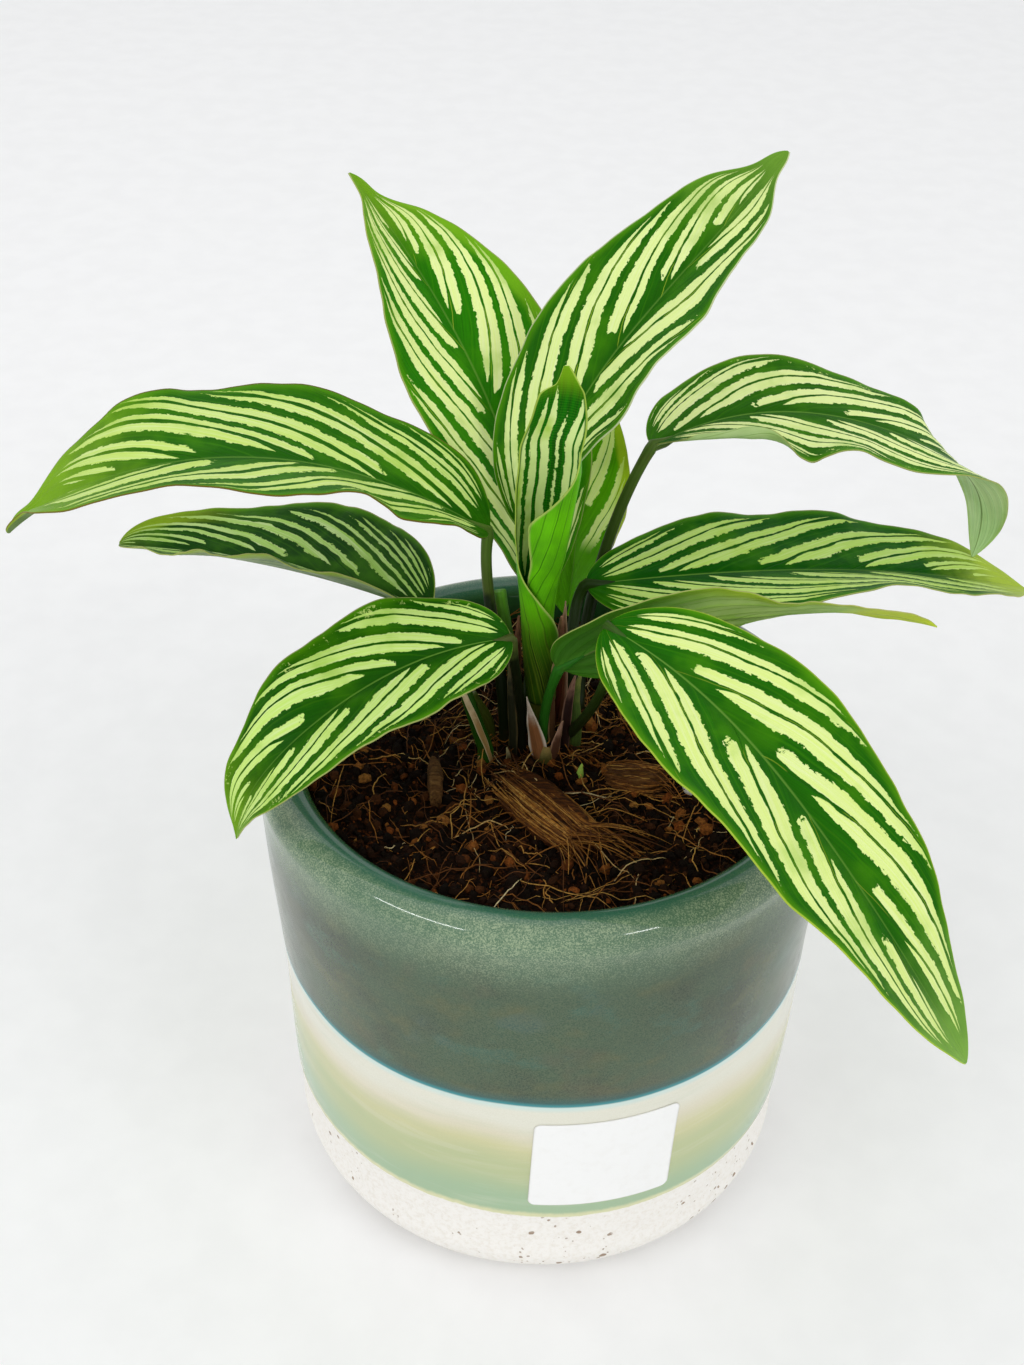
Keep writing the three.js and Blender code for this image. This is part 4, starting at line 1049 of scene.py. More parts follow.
# each strip: points up its middle, widths, the way its outer side looks, and how far it wraps round
sheaths = [
    {"points": ((-8.6, 5.6, 126), (-8.9, 5.4, 142), (-8.7, 6.2, 158), (-8.2, 7.6, 169)),
     "widths": (2.6, 2.8, 2.2, 0.5), "facing": (-0.2, -1, 0.1),
     "wrap": 150, "tones": ("#9c6a4a", "#4a2010", "#24140a")},
    {"points": ((-9.2, -0.2, 126), (-9.3, -0.6, 138), (-9.9, -0.4, 151), (-10.3, 0.3, 163)),
     "widths": (2.2, 2.4, 2.2, 0.5), "facing": (-0.4, -1, 0.2),
     "wrap": 120, "tones": ("#7a6a42", "#24260c", "#14160a")},
    {"points": ((1.6, 1.6, 126), (1.0, 0.4, 140), (0.6, 0.6, 152), (1.0, 1.6, 161)),
     "widths": (2.0, 2.4, 1.8, 0.4), "facing": (0.9, -1, 0.2),
     "wrap": 110, "tones": ("#b89a6a", "#5e3c1c", "#2c1c0c")},
    {"points": ((3.4, 9.0, 128), (2.6, 9.0, 144), (2.2, 9.6, 156), (2.6, 10.8, 167)),
     "widths": (2.2, 3.2, 2.8, 0.6), "facing": (0.1, -1, 0.1),
     "wrap": 140, "tones": ("#c08a6c", "#6a2c18", "#34160c")},
    {"points": ((1.4, -2.4, 125), (1.5, -2.8, 132), (2.3, -2.6, 138), (3.4, -1.8, 143.5)),
     "widths": (2.8, 2.8, 2.0, 0.4), "facing": (0.3, -1, 0.1),
     "wrap": 120, "tones": ("#c79a80", "#5a3420", "#2a1a0c")},
    {"points": ((-0.6, -4.2, 125), (-1.0, -4.5, 129), (-0.9, -4.4, 133), (-0.4, -3.6, 136.2)),
     "widths": (4.2, 4.8, 4.2, 1.6), "facing": (0.1, -1, 0.15),
     "wrap": 150, "tones": ("#a58a4e", "#4f4c18", "#2c280c")},
    {"points": ((4.2, 1.4, 126), (4.3, 0.6, 138), (5.0, 0.8, 148), (6.2, 2.0, 155)),
     "widths": (2.4, 2.6, 2.2, 0.5), "facing": (0.2, -1, 0.1),
     "wrap": 120, "tones": ("#a87c66", "#30140e", "#160a06")},
    {"points": ((-14.2, -3.7, 129), (-15.0, -3.8, 134), (-17.6, -3.5, 142), (-21.6, -2.6, 152.5)),
     "widths": (0.6, 1.2, 1.7, 1.4), "facing": (0.6, -1, 0.4),
     "wrap": 80, "tones": ("#e6d2a8", "#b8905a", "#5a4a1c")},
    {"points": ((-13.9, 11.4, 150), (-13.6, 11.0, 158), (-13.5, 11.4, 166), (-12.6, 12.6, 172.6)),
     "widths": (1.4, 2.6, 2.8, 1.2), "facing": (0.8, -1, 0.1),
     "wrap": 150, "tones": ("#d2c48a", "#7d8a3a", "#4a5a20")},
    {"points": ((-10.6, -3.4, 126), (-10.3, -3.9, 130), (-10.1, -4.0, 133), (-10.6, -3.6, 136)),
     "widths": (1.4, 1.6, 1.2, 0.4), "facing": (0.2, -1, 0.3),
     "wrap": 90, "tones": ("#a89a70", "#4a4020", "#241e0e")},
    {"points": ((7.2, 3.0, 127), (7.2, 2.4, 137), (6.6, 3.0, 146), (7.6, 4.6, 153)),
     "widths": (3.0, 3.4, 3.0, 0.8), "facing": (0.3, -1, 0.1),
     "wrap": 150, "tones": ("#9aa04e", "#4f6a24", "#26300f")},
]


def paperyMaterial(name, tones):
    # thin dry skin: pale at its edge, brown in its middle and dark at its foot
    material, tree, sockets = newMaterial(name, 0.62, 0.3)
    share, across, _ = uvPair(tree, "strip")
    fromMiddle = calc(tree, "ABSOLUTE", timesPlus(tree, across, 2.0, -1.0))
    stretched = joinVector(tree, times(tree, across, 14.0), times(tree, share, 1.6))
    lines = noiseAt(tree, stretched, 1.0, 3.0, 0.7)
    blot = noiseAt(tree, placeInMm(tree), 0.35, 3.0, 0.6)
    pale, middle, dark = tones
    link(tree, sockets["Base Color"], layered(
        tree, middle,
        (mapRange(tree, lines, 0.3, 0.7), mixColour(tree, 0.5, middle, dark)),
        (mapRange(tree, fromMiddle, 0.55, 0.95, 0.0, 0.9), pale),
        (mapRange(tree, timesPlus(tree, blot, 0.5, share), 0.85, 1.3, 0.0, 0.9), pale),
        (mapRange(tree, timesPlus(tree, blot, 0.4, share), 0.15, 0.65, 0.9, 0.0), dark),
    ))
    addBump(tree, sockets, calc(tree, "ADD", lines, blot), 0.5, 0.0004)
    return material


def stripGrid(strip, rows=34, columns=15):
    share = np.linspace(0, 1, rows)
    path = along(strip["points"], share)
    width = np.maximum(along(strip["widths"], share), 0.15)
    way = np.gradient(path, axis=0)
    way /= np.linalg.norm(way, axis=1, keepdims=True)
    facing = np.array(strip["facing"], float)
    across = np.cross(way, facing)
    across /= np.linalg.norm(across, axis=1, keepdims=True)
    out = np.cross(across, way)
    v = np.linspace(-1, 1, columns)
    wrap = math.radians(strip["wrap"]) / 2
    radius = width / 2 / math.sin(min(wrap, math.pi / 2))
    angle = v * wrap
    side = radius[:, None] * np.sin(angle)[None, :]
    rise = radius[:, None] * (np.cos(angle) - 1)[None, :]
    ruffle = 0.12 * np.sin(share[:, None] * 23 + v[None, :] * 3) * v[None, :] ** 2
    grid = path[:, None] + across[:, None] * side[..., None] + out[:, None] * (rise + ruffle)[..., None]
    return grid, share, v


def sheetPiece(name, grid, share, v, material, nodes=(), thickness=0.24):
    normals = gridNormals(grid)
    edge = (thickness / 2 * (1 - 0.5 * np.abs(v) ** 4))[None, :, None]
    points, faces, cells, _ = closedSheet(grid + normals * edge, grid - normals * edge)
    pairs = [(share[i], 0.5 + v[j] / 2) for corners, _ in cells for i, j in corners]
    makePiece(name, points, faces, [material], nodes, None, {"strip": pairs})


def makeCutStem(stem):
    top = np.array(stem["top"], float)
    lean = top - (*stem["foot"], soilSet["level"] + soilSet["stalkRise"])
    lean /= np.linalg.norm(lean)
    path = plantedPath(stem["foot"], top, np.array([0, 0, 1.0]), lean, 0.3, 30)
    radii = np.linspace(stem["footRadius"], stem["topRadius"], len(path)) * 0.96
    # the cut end is slightly hollow
    path = np.concatenate([path, [top - lean * 0.1, top - lean * 0.9]])
    radii = np.concatenate([radii, [radii[-1] * 0.72, radii[-1] * 0.5]])
    points, faces, pairs = tubeMesh(path, radii, 18, groove=0.3)
    name = stem["name"]
    material = stalkMaterial(name + "_skin", stem["tones"], high=stem["top"][2])
    makePiece(name + "_stub", points, faces, [material], [name], None, {"tube": pairs})


def makeCrown():
    for stem in cutStems:
        makeCutStem(stem)
    for scale in dryScales:
        share = 0.004 + 0.992 * np.linspace(0, 1, 40)
        v = -np.linspace(-1, 1, 15)
        grid, _ = bladeGrid(scale, share, v)
        crinkle = 0.18 * np.sin(share[:, None] * 19 + v[None, :] * 2.5) * v[None, :] ** 2
        grid += crinkle[..., None] * gridNormals(grid)
        material = paperyMaterial(scale["name"] + "_skin", scale["tones"])
        sheetPiece(scale["name"] + "_husk", grid, share, v, material, [scale["name"]], 0.3)
    for number, strip in enumerate(sheaths):
        grid, share, v = stripGrid(strip)
        material = paperyMaterial("sheath_%d_skin" % number, strip["tones"])
        sheetPiece("sheath_%d" % number, grid, share, v, material)


# potting mix: an uneven bed with crumbs, coir fibres and lumps of husk

bedSet = {
    "rings": 78, "segments": 220, "innerGap": 0.25, "floor": 9.3,
    "crumbs": 5200, "crumbRadius": (0.35, 1.9), "crumbStretch": (0.6, 1.35), "crumbRough": (0.72, 1.12),
    "fibres": 480, "crownFibres": 90, "seed": 41,
    "fibreRadius": (0.07, 0.17), "fibreReach": (3, 15), "fibreRise": (0.3, 2.6),
    "tones": ((0.25, "#080402"), (0.48, "#160b05"), (0.62, "#331a0a"), (0.8, "#6a3c18")),
    # the second tone here is painted shade, laid in the gaps between crumbs
    "orange": "#8a4a20", "gapShade": "#0e0703",
}
crumbLook = {
    "piece": "soil_crumbs", "material": "crumbs", "smooth": False,
    "stops": (
        (0.0, "#070402"), (0.45, "#120a05"), (0.72, "#2a160a"),
        (0.88, "#4e2a10"), (0.96, "#8a491b"), (1.0, "#9c6a30"),
    ),
    "roughness": 0.85, "specular": 0.1, "shadow": "#1a0e06", "bump": (0.8, 0.0006),
    "spots": (1.6, 3.0, 0.7), "darken": (0.3, 0.6),
}
fibreLook = {
    "piece": "soil_fibres", "material": "coir_fibres", "smooth": True,
    "stops": ((0.0, "#3a1e08"), (0.3, "#6e3f12"), (0.6, "#a56a26"), (0.88, "#c99a4c"), (1.0, "#ead6a4")),
    "roughness": 0.6, "specular": 0.2, "shadow": "#3a2210", "bump": (0.5, 0.0003),
    "spots": (1.2, 2.0, 0.5), "darken": (0.35, 0.5),
}
strandSet = {"perLength": 4.5, "hug": 0.93, "spread": 1.1, "lift": 0.6, "radius": (0.07, 0.17)}
potSet = {
    "height": 139.5, "topRadius": 75.0, "groundRadius": 68.0, "wall": 12.0, "floor": 9.0,
    "lipHeight": 6.2, "footRoundWidth": 19.0, "footRoundHeight": 15.5, "segments": 288,
    "unevenFrom": 16, "unevenTo": 131,
    "underside": ((0.0, 1.6), (40.0, 1.6), (44.0, 1.2), (46.0, 0.25)),
}
chips = [
    {"name": "husk_front", "middle": (-0.5, -23, 131.5), "size": (40, 16, 7), "turn": -50, "tilt": 8, "seed": 3,
     "slot": "husk", "tones": ("#1c0d05", "#4a260c", "#8a521c")},
    {"name": "husk_right", "middle": (22, -9.5, 131.5), "size": (17, 12, 7), "turn": -8, "tilt": -5, "seed": 8,
     "slot": "husk", "tones": ("#261408", "#5e3a18", "#94683a")},
    {"name": "wood_chip", "middle": (-28.5, -12.5, 132), "size": (4.5, 17, 4), "turn": 4, "tilt": 8, "seed": 5,
     "slot": "wood", "tones": ("#2c1a0b", "#654322", "#9c7442")},
]
grain = {
    "name": "perlite_grain", "middle": (36, -13, 132), "radius": 2.5,
    "tones": ((0.3, "#b8b09c"), (0.5, "#e6e2d6"), (0.7, "#f4f2ec")),
}
sprout = {
    "name": "sprout", "foot": (7.8, -9), "height": 8, "radius": 1.5,
    "tones": ((0.0, "#6a5a24"), (0.5, "#7fa83a"), (1.0, "#a9cc58")),
}


def outerRadius(z):
    return potSet["groundRadius"] + (potSet["topRadius"] - potSet["groundRadius"]) * z / potSet["height"]


def innerRadius(z):
    return outerRadius(z) - potSet["wall"]


def roughness3(points, scale, octaves=4, shift=0.0):
    # layered smooth noise at each point, about -1 to 1
    values = []
    for x, y, z in np.asarray(points, float):
        total, size, gain = 0.0, 1.0, 1.0
        for _ in range(octaves):
            total += gain * noise.noise(Vector((x * scale * size + shift, y * scale * size, z * scale * size)))
            size *= 2.1
            gain *= 0.5
        values.append(total)
    return np.array(values)


def soilSurface(x, y):
    lumps = np.sin(x * 0.31 + 1.3) * np.cos(y * 0.27 - 0.6) + 0.7 * np.sin(x * 0.53 - y * 0.47 + 2)
    crown = soilSet["crownHeight"] * np.exp(-((x + 2) ** 2 + (y - 7) ** 2) / 420)
    return soilSet["level"] + soilSet["roughness"] * lumps * 0.6 + crown


def bedHeight(x, y):
    flat = np.stack([x, y, 0 * x], -1).reshape(-1, 3)
    fine = roughness3(flat, 0.16, 4).reshape(np.shape(x)) * 1.5
    crumbly = np.abs(roughness3(flat, 0.5, 3, 9.0)).reshape(np.shape(x)) * 1.1
    return soilSurface(x, y) + fine + crumbly - 0.5


def soilMaterial():
    material, tree, sockets = newMaterial("potting_mix", 0.9, 0.08)
    place = placeInMm(tree)
    coarse = noiseAt(tree, place, 0.12, 4.0, 0.6)
    fine = noiseAt(tree, place, 0.9, 4.0, 0.7)
    cells = addNode(tree, "ShaderNodeTexVoronoi", {"Vector": place, "Scale": 0.55})
    orange = times(tree, mapRange(tree, coarse, 0.52, 0.7), mapRange(tree, fine, 0.45, 0.65))
    link(tree, sockets["Base Color"], layered(
        tree, rampOf(tree, fine, bedSet["tones"]),
        (times(tree, orange, 0.7), bedSet["orange"]),
        # painted shade: the edges of the cells go near black, as dark gaps between the crumbs
        (mapRange(tree, cells.outputs["Distance"], 0.5, 1.1, 0.0, 0.8), bedSet["gapShade"]),
    ))
    addBump(tree, sockets, calc(tree, "ADD", fine, coarse), 1.0, 0.0012)
    return material


def tintedMaterial(look):
    # each crumb or fibre has its own tint, and fine noise darkens it in spots
    material, tree, sockets = newMaterial(look["material"], look["roughness"], look["specular"])
    tone = rampOf(tree, uvPair(tree, "strip")[1], look["stops"])
    spots = noiseAt(tree, placeInMm(tree), *look["spots"])
    low, most = look["darken"]
    shade = mixColour(tree, mapRange(tree, spots, low, 0.7, 0.0, most), tone, look["shadow"])
    link(tree, sockets["Base Color"], shade)
    addBump(tree, sockets, spots, *look["bump"])
    return material


def icosahedron():
    golden = (1 + 5 ** 0.5) / 2
    corners = [(a, b * golden, 0) for a in (-1, 1) for b in (-1, 1)]
    corners += [(0, a, b * golden) for a in (-1, 1) for b in (-1, 1)]
    corners += [(b * golden, 0, a) for a in (-1, 1) for b in (-1, 1)]
    points = np.array([tuple(Vector(corner).normalized()) for corner in corners])
    near = min(np.linalg.norm(points[0] - p) for p in points[1:]) * 1.01
    faces = []
    for a, b, c in combinations(range(12), 3):
        pa, pb, pc = points[[a, b, c]]
        if max(np.linalg.norm(pa - pb), np.linalg.norm(pb - pc), np.linalg.norm(pa - pc)) < near:
            faces.append((a, b, c) if np.cross(pb - pa, pc - pa).dot(pa) > 0 else (a, c, b))
    return points, faces


def roundBall():
    # an icosahedron with each face cut in four
    corners, triangles = icosahedron()
    points, middles, faces = list(corners), {}, []

    def middle(a, b):
        key = (min(a, b), max(a, b))
        if key not in middles:
            point = points[a] + points[b]
            middles[key] = len(points)
            points.append(point / np.linalg.norm(point))
        return middles[key]

    for a, b, c in triangles:
        ab, bc, ca = middle(a, b), middle(b, c), middle(c, a)
        faces += [(a, ab, ca), (b, bc, ab), (c, ca, bc), (ab, bc, ca)]
    return np.array(points), faces


def crumbMesh():
    draw = np.random.default_rng(bedSet["seed"])
    shape, triangles = icosahedron()
    low, high = bedSet["crumbRadius"]
    points, faces, pairs = [], [], []
    rim = innerRadius(soilSet["level"]) - 1.2
    for number in range(bedSet["crumbs"]):
        out = rim * math.sqrt(draw.random())
        angle = draw.random() * 2 * math.pi
        x, y = out * math.cos(angle), out * math.sin(angle)
        radius = low + (high - low) * draw.random() ** 3
        stretch = draw.uniform(*bedSet["crumbStretch"], 3) * radius
        body = shape * draw.uniform(*bedSet["crumbRough"], (12, 1)) * stretch
        spin = Matrix.Rotation(draw.random() * 6.28, 3, Vector(draw.normal(size=3)).normalized())
        z = float(bedHeight(np.array([x]), np.array([y]))[0]) + radius * draw.uniform(-0.1, 0.45)
        points.append(body @ np.array(spin) + (x, y, z))
        tint = draw.random()
        faces += [[12 * number + n for n in triangle] for triangle in triangles]
        pairs += [(0.5, tint)] * 3 * len(triangles)
    return np.concatenate(points), faces, pairs


def huskPaths(draw):
    # strands that lie along a husk, frayed and lifted at its lower end
    paths = []
    for chip in chips[:2]:
        length, width, high = chip["size"]
        turn = math.radians(chip["turn"])
        way, side = np.array([math.cos(turn), math.sin(turn)]), np.array([-math.sin(turn), math.cos(turn)])
        for number in range(int(length * strandSet["perLength"])):
            around = math.radians(draw.uniform(8, 172))
            start = draw.uniform(-0.5, 0.15) * length
            end = start + draw.uniform(0.3, 0.75) * length
            u = np.linspace(0, 1, 12)
            run = start + (end - start) * u
            inside = np.clip(np.abs(run) / (length / 2), 0, 1)
            shrink = (1 - 0.35 * inside ** 2) * strandSet["hug"]
            beyond = np.maximum(run - length * 0.3, 0) / length
            loose = draw.uniform(-1, 1) * strandSet["spread"] * beyond
            across = np.cos(around) * width / 2 * shrink + loose * length + 0.3 * np.sin(u * 7 + number)
            lift = np.sin(around) * high / 2 * shrink + draw.uniform(0, 1) * strandSet["lift"] * beyond * length
            flat = np.array(chip["middle"][:2]) + run[:, None] * way + across[:, None] * side
            z = chip["middle"][2] + lift - 1.6 * beyond * length * beyond
            radius = draw.uniform(*strandSet["radius"])
            paths.append((np.column_stack([flat, z]), radius, draw.uniform(0.05, 0.85)))
    return paths


def fibreMesh():
    draw = np.random.default_rng(bedSet["seed"] + 1)
    points, faces, pairs = [], [], []
    total = 0
    paths = huskPaths(draw)
    rim = innerRadius(soilSet["level"]) - 1.5
    thin, thick = bedSet["fibreRadius"]
    for number in range(bedSet["fibres"] + bedSet["crownFibres"]):
        out = rim * draw.random() ** 0.55 * (1.0 if number < bedSet["fibres"] else 0.5)
        angle = draw.random() * 2 * math.pi
        x, y = out * math.cos(angle), out * math.sin(angle)
        reach = draw.uniform(*bedSet["fibreReach"])
        turn = draw.random() * math.pi
        bow = draw.uniform(-3, 3)
        rise = draw.uniform(*bedSet["fibreRise"]) * (1.6 if draw.random() < 0.15 else 1.0)
        u = np.linspace(-1, 1, 13)
        kink = draw.uniform(-0.35, 0.35, 2)
        side = bow * (u * u - 0.5) + kink[0] * np.sin(u * 5 + number) + kink[1] * np.sin(u * 9)
        px = x + reach * u * math.cos(turn) - side * math.sin(turn)
        py = y + reach * u * math.sin(turn) + side * math.cos(turn)
        distance = np.hypot(px, py)
        over = np.maximum(distance / rim, 1.0)
        px, py = px / over, py / over
        ground = bedHeight(px, py)
        pz = ground + rise * (1 - u * u) + 0.15 + 0.5 * kink[0] * np.sin(u * 6) - 0.5 * (np.abs(u) > 0.95)
        paths.append((np.stack([px, py, pz], 1), draw.uniform(thin, thick), draw.random()))
    for path, radius, tint in paths:
        radii = radius * (1 - 0.55 * np.abs(np.linspace(-1, 1, len(path))) ** 3)
        body, tubeFaces, tubePairs = tubeMesh(path, radii, 5)
        points.append(body)
        faces += [[n + total for n in face] for face in tubeFaces]
        pairs += [(low, tint) for low, _ in tubePairs]
        total += len(body)
    return np.concatenate(points), faces, pairs


def makeSoil():
    rings, segments = bedSet["rings"], bedSet["segments"]
    rim = innerRadius(soilSet["level"]) - bedSet["innerGap"]
    angles = np.arange(segments) / segments * 2 * np.pi
    radii = rim * (np.arange(1, rings + 1) / rings)[:, None]
    x, y = radii * np.cos(angles), radii * np.sin(angles)
    z = bedHeight(x, y)
    z = np.where(radii > rim - 2.0, z - 0.4 * (radii - rim + 2.0), z)
    top = np.stack([x, y, z], -1).reshape(-1, 3)
    bottomRadius, floor = innerRadius(bedSet["floor"]) - bedSet["innerGap"], bedSet["floor"]
    base = np.stack([bottomRadius * np.cos(angles), bottomRadius * np.sin(angles), 0 * angles + floor], -1)
    centre = bedHeight(np.array([0.0]), np.array([0.0]))[0]
    points = np.concatenate([top, base, [[0, 0, centre], [0, 0, floor]]])
    numbers = np.arange((rings + 1) * segments).reshape(rings + 1, segments).tolist()
    last = (rings + 1) * segments
    # each face starts at its second corner, which settles how an uneven one is split
    faces = [face[1:] + face[:1] for face in ringFaces([[last + 1], *numbers[::-1], [last]])]
    makePiece("soil_bed", points, faces, [soilMaterial()], ["potting_mix"])
    for look, (points, faces, pairs) in ((crumbLook, crumbMesh()), (fibreLook, fibreMesh())):
        material = tintedMaterial(look)
        uvMaps = {"strip": pairs}
        makePiece(look["piece"], points, faces, [material], (), None, uvMaps, look["smooth"])


def huskMaterial(name, tones, grainWay):
    material, tree, sockets = newMaterial(name, 0.75, 0.12)
    place = placeInMm(tree)
    stretched = addNode(tree, "ShaderNodeMapping", {
        "Vector": place, "Rotation": (0, 0, math.radians(-grainWay)), "Scale": (0.12, 1.3, 1.3),
    })
    lines = noiseAt(tree, stretched.outputs[0], 1.0, 5.0, 0.7)
    blot = noiseAt(tree, place, 0.25, 3.0)
    dark, middle, pale = tones
    shade = rampOf(tree, lines, ((0.3, dark), (0.5, middle), (0.72, pale)))
    shade = mixColour(tree, mapRange(tree, blot, 0.5, 0.75, 0.0, 0.6), shade, dark)
    link(tree, sockets["Base Color"], shade)
    addBump(tree, sockets, lines, 1.0, 0.0012)
    return material


def blockMesh(steps):
    # the six sides of a block from -1 to 1, cut in squares and joined at the edges
    index, faces = {}, []
    for axis in range(3):
        b, c = (axis + 1) % 3, (axis + 2) % 3
        for side in (0, int(steps[axis])):
            for p in range(steps[b]):
                for q in range(steps[c]):
                    corners = [(p, q), (p + 1, q), (p + 1, q + 1), (p, q + 1)]
                    face = []
                    for place in corners if side else corners[:1] + corners[:0:-1]:
                        key = [side] * 3
                        key[b], key[c] = place
                        face.append(index.setdefault(tuple(key), len(index)))
                    faces.append(face)
    return 2 * np.array(list(index), float) / np.array(steps) - 1, faces


def makeChip(chip):
    # a rounded lump with split, fibrous ends
    size = np.array(chip["size"], float)
    steps = np.maximum((size * (2.2 if max(size) < 20 else 1.8)).astype(int), 6)
    block, faces = blockMesh(steps)
    length = np.argmax(size)
    others = [k for k in range(3) if k != length]
    end, a, b = block[:, length], block[:, others[0]], block[:, others[1]]
    body = block.copy()
    body[:, others[0]] = a * np.sqrt(1 - 0.42 * b * b)
    body[:, others[1]] = b * np.sqrt(1 - 0.42 * a * a)
    body[:, others] *= (1 - 0.35 * end ** 2)[:, None]
    coarse = roughness3(block * (size / max(size)), 1.7, 3, chip["seed"])
    strands = roughness3(np.stack([end * 0.8, a * 5, b * 5], 1), 1.0, 3, chip["seed"] + 5.0)
    shrink = 0.9 + 0.1 * coarse - 0.08 * np.abs(strands) * (1 + 2 * end ** 4)
    body *= np.clip(shrink, 0.5, 0.99)[:, None]
    ends = roughness3(np.stack([np.sign(end), a * 4, b * 4], 1), 1.3, 2, chip["seed"] + 9.0)
    body[:, length] *= 1 - 0.12 * np.abs(ends) * end ** 4
    turn, tilt = (math.radians(chip[key]) for key in ("turn", "tilt"))
    turn = Matrix.Rotation(turn, 3, "Z") @ Matrix.Rotation(tilt, 3, "X")
    body = (body * size / 2) @ np.array(turn).T + chip["middle"]
    way = chip["turn"] if length == 0 else chip["turn"] + 90
    material = huskMaterial(chip["name"] + "_fibre", chip["tones"], way)
    makePiece(chip["name"] + "_piece", body, faces, [material], [chip["name"]])


def makeGrain():
    shape, faces = roundBall()
    shape = shape * (0.93 + 0.06 * roughness3(shape, 1.6, 3)[:, None]) * grain["radius"] + grain["middle"]
    material, tree, sockets = newMaterial("perlite", 0.8, 0.3)
    pits = noiseAt(tree, placeInMm(tree), 1.6, 4.0, 0.7)
    link(tree, sockets["Base Color"], rampOf(tree, pits, grain["tones"]))
    addBump(tree, sockets, pits, 0.8, 0.0006)
    makePiece("perlite_grain_piece", shape, faces, [material], [grain["name"]])


def makeSprout():
    u = np.linspace(0, 1, 16)
    x, y = sprout["foot"]
    z = soilSet["level"] - 2 + sprout["height"] * u * 0.98
    path = np.stack([x + 0.6 * u ** 2, y - 0.3 * u, z], 1)
    points, faces, pairs = tubeMesh(path, sprout["radius"] * 0.95 * (1 - u) ** 0.7 + 0.15, 14, groove=0.4)
    material = stalkMaterial("sprout_skin", sprout["tones"], 128.0, 136.0)
    makePiece("sprout_shoot", points, faces, [material], [sprout["name"]], None, {"tube": pairs})


# the pot: glazed above, bare clay below, with bands where the glaze ran thin

glazeSet = {
    "main": "#364f3a", "teal": "#32594a", "olive": "#4c5436",
    "brown": "#4e4636", "dusk": "#2b382a", "blue": "#3c5850",
    # the last two tones here are painted shade: the lip's inner slope and the inside wall
    "shoulder": "#40684f", "gold": "#ccd8b0", "lip": "#2a6450", "inside": "#2f5c2a",
    "line": "#2f8f96", "lineDeep": "#235f5f", "halo": "#cde4de", "cream": "#e8e7d8", "beige": "#e2dcc4",
    "straw": "#d3d1a0", "yellow": "#bdc796", "aqua": "#a3c09c", "fringe": "#dcdcae",
    "clay": "#faf7f2", "clayShade": "#ddd3c2", "claySpeck": "#84623a", "speckled": "#a3ad7c",
    "streakGreen": "#a8bd96", "streakPale": "#ecead8", "streakBrown": "#b9b08c",
    "specks": ((0.16, 0.2, 0.4, 0.8), (0.3, 0.26, 0.42, 0.75), (0.6, 0.26, 0.45, 0.6)),
    # heights where each band starts, and the radii of the lip's inner tones: the glaze's deep teal on the lip's
    # inner slope, darkened as painted shade, and painted shade on the inside wall
    "shoulderAt": 127.0, "goldFrom": 117.0, "goldTo": 136.0,
    "lineAt": 79.0, "beigeAt": 69.0, "strawAt": 63.5, "yellowAt": 57.0,
    "aquaAt": 44.0, "fringeAt": 33.6, "clayAt": 32.0, "lipShadeFrom": (67.5, 71.5), "insideShadeFrom": (63.5, 66.0),
    "coat": {"Coat Roughness": 0.03, "Coat IOR": 1.85}, "coatWeight": 0.34,
}


def makeSpecksGroup():
    # round specks of uneven size scattered through the clay, gathered in patches
    tree, take, give = newGroup("specks", {
        "NodeSocketVector": ("Place",), "NodeSocketFloat": ("Scale", "Size", "Patch"),
    }, ("Mask",))
    shift = addNode(tree, "ShaderNodeTexNoise", {"Vector": take["Place"], "Scale": 0.5, "Detail": 2.0})
    bent = {0: take["Place"], 1: scaled(tree, shift.outputs["Color"], (1.2, 1.2, 1.2))}
    bent = addNode(tree, "ShaderNodeVectorMath", bent, operation="ADD").outputs[0]
    cells = addNode(tree, "ShaderNodeTexVoronoi", {"Vector": bent, "Scale": take["Scale"]})
    draw = addNode(tree, "ShaderNodeSeparateColor", {0: cells.outputs["Color"]}).outputs
    size = times(tree, calc(tree, "POWER", draw[0], 2.2), take["Size"])
    mask = mapRange(tree, calc(tree, "SUBTRACT", cells.outputs["Distance"], size), -0.012, 0.012, 1.0, 0.0)
    gathered = noiseAt(tree, take["Place"], 0.05, 2.0)
    patch = mapRange(tree, gathered, take["Patch"], calc(tree, "ADD", take["Patch"], 0.05))
    link(tree, give["Mask"], times(tree, mask, patch))
    return tree


def around(tree, value, level, blur):
    return mapRange(tree, value, level - blur, level + blur)


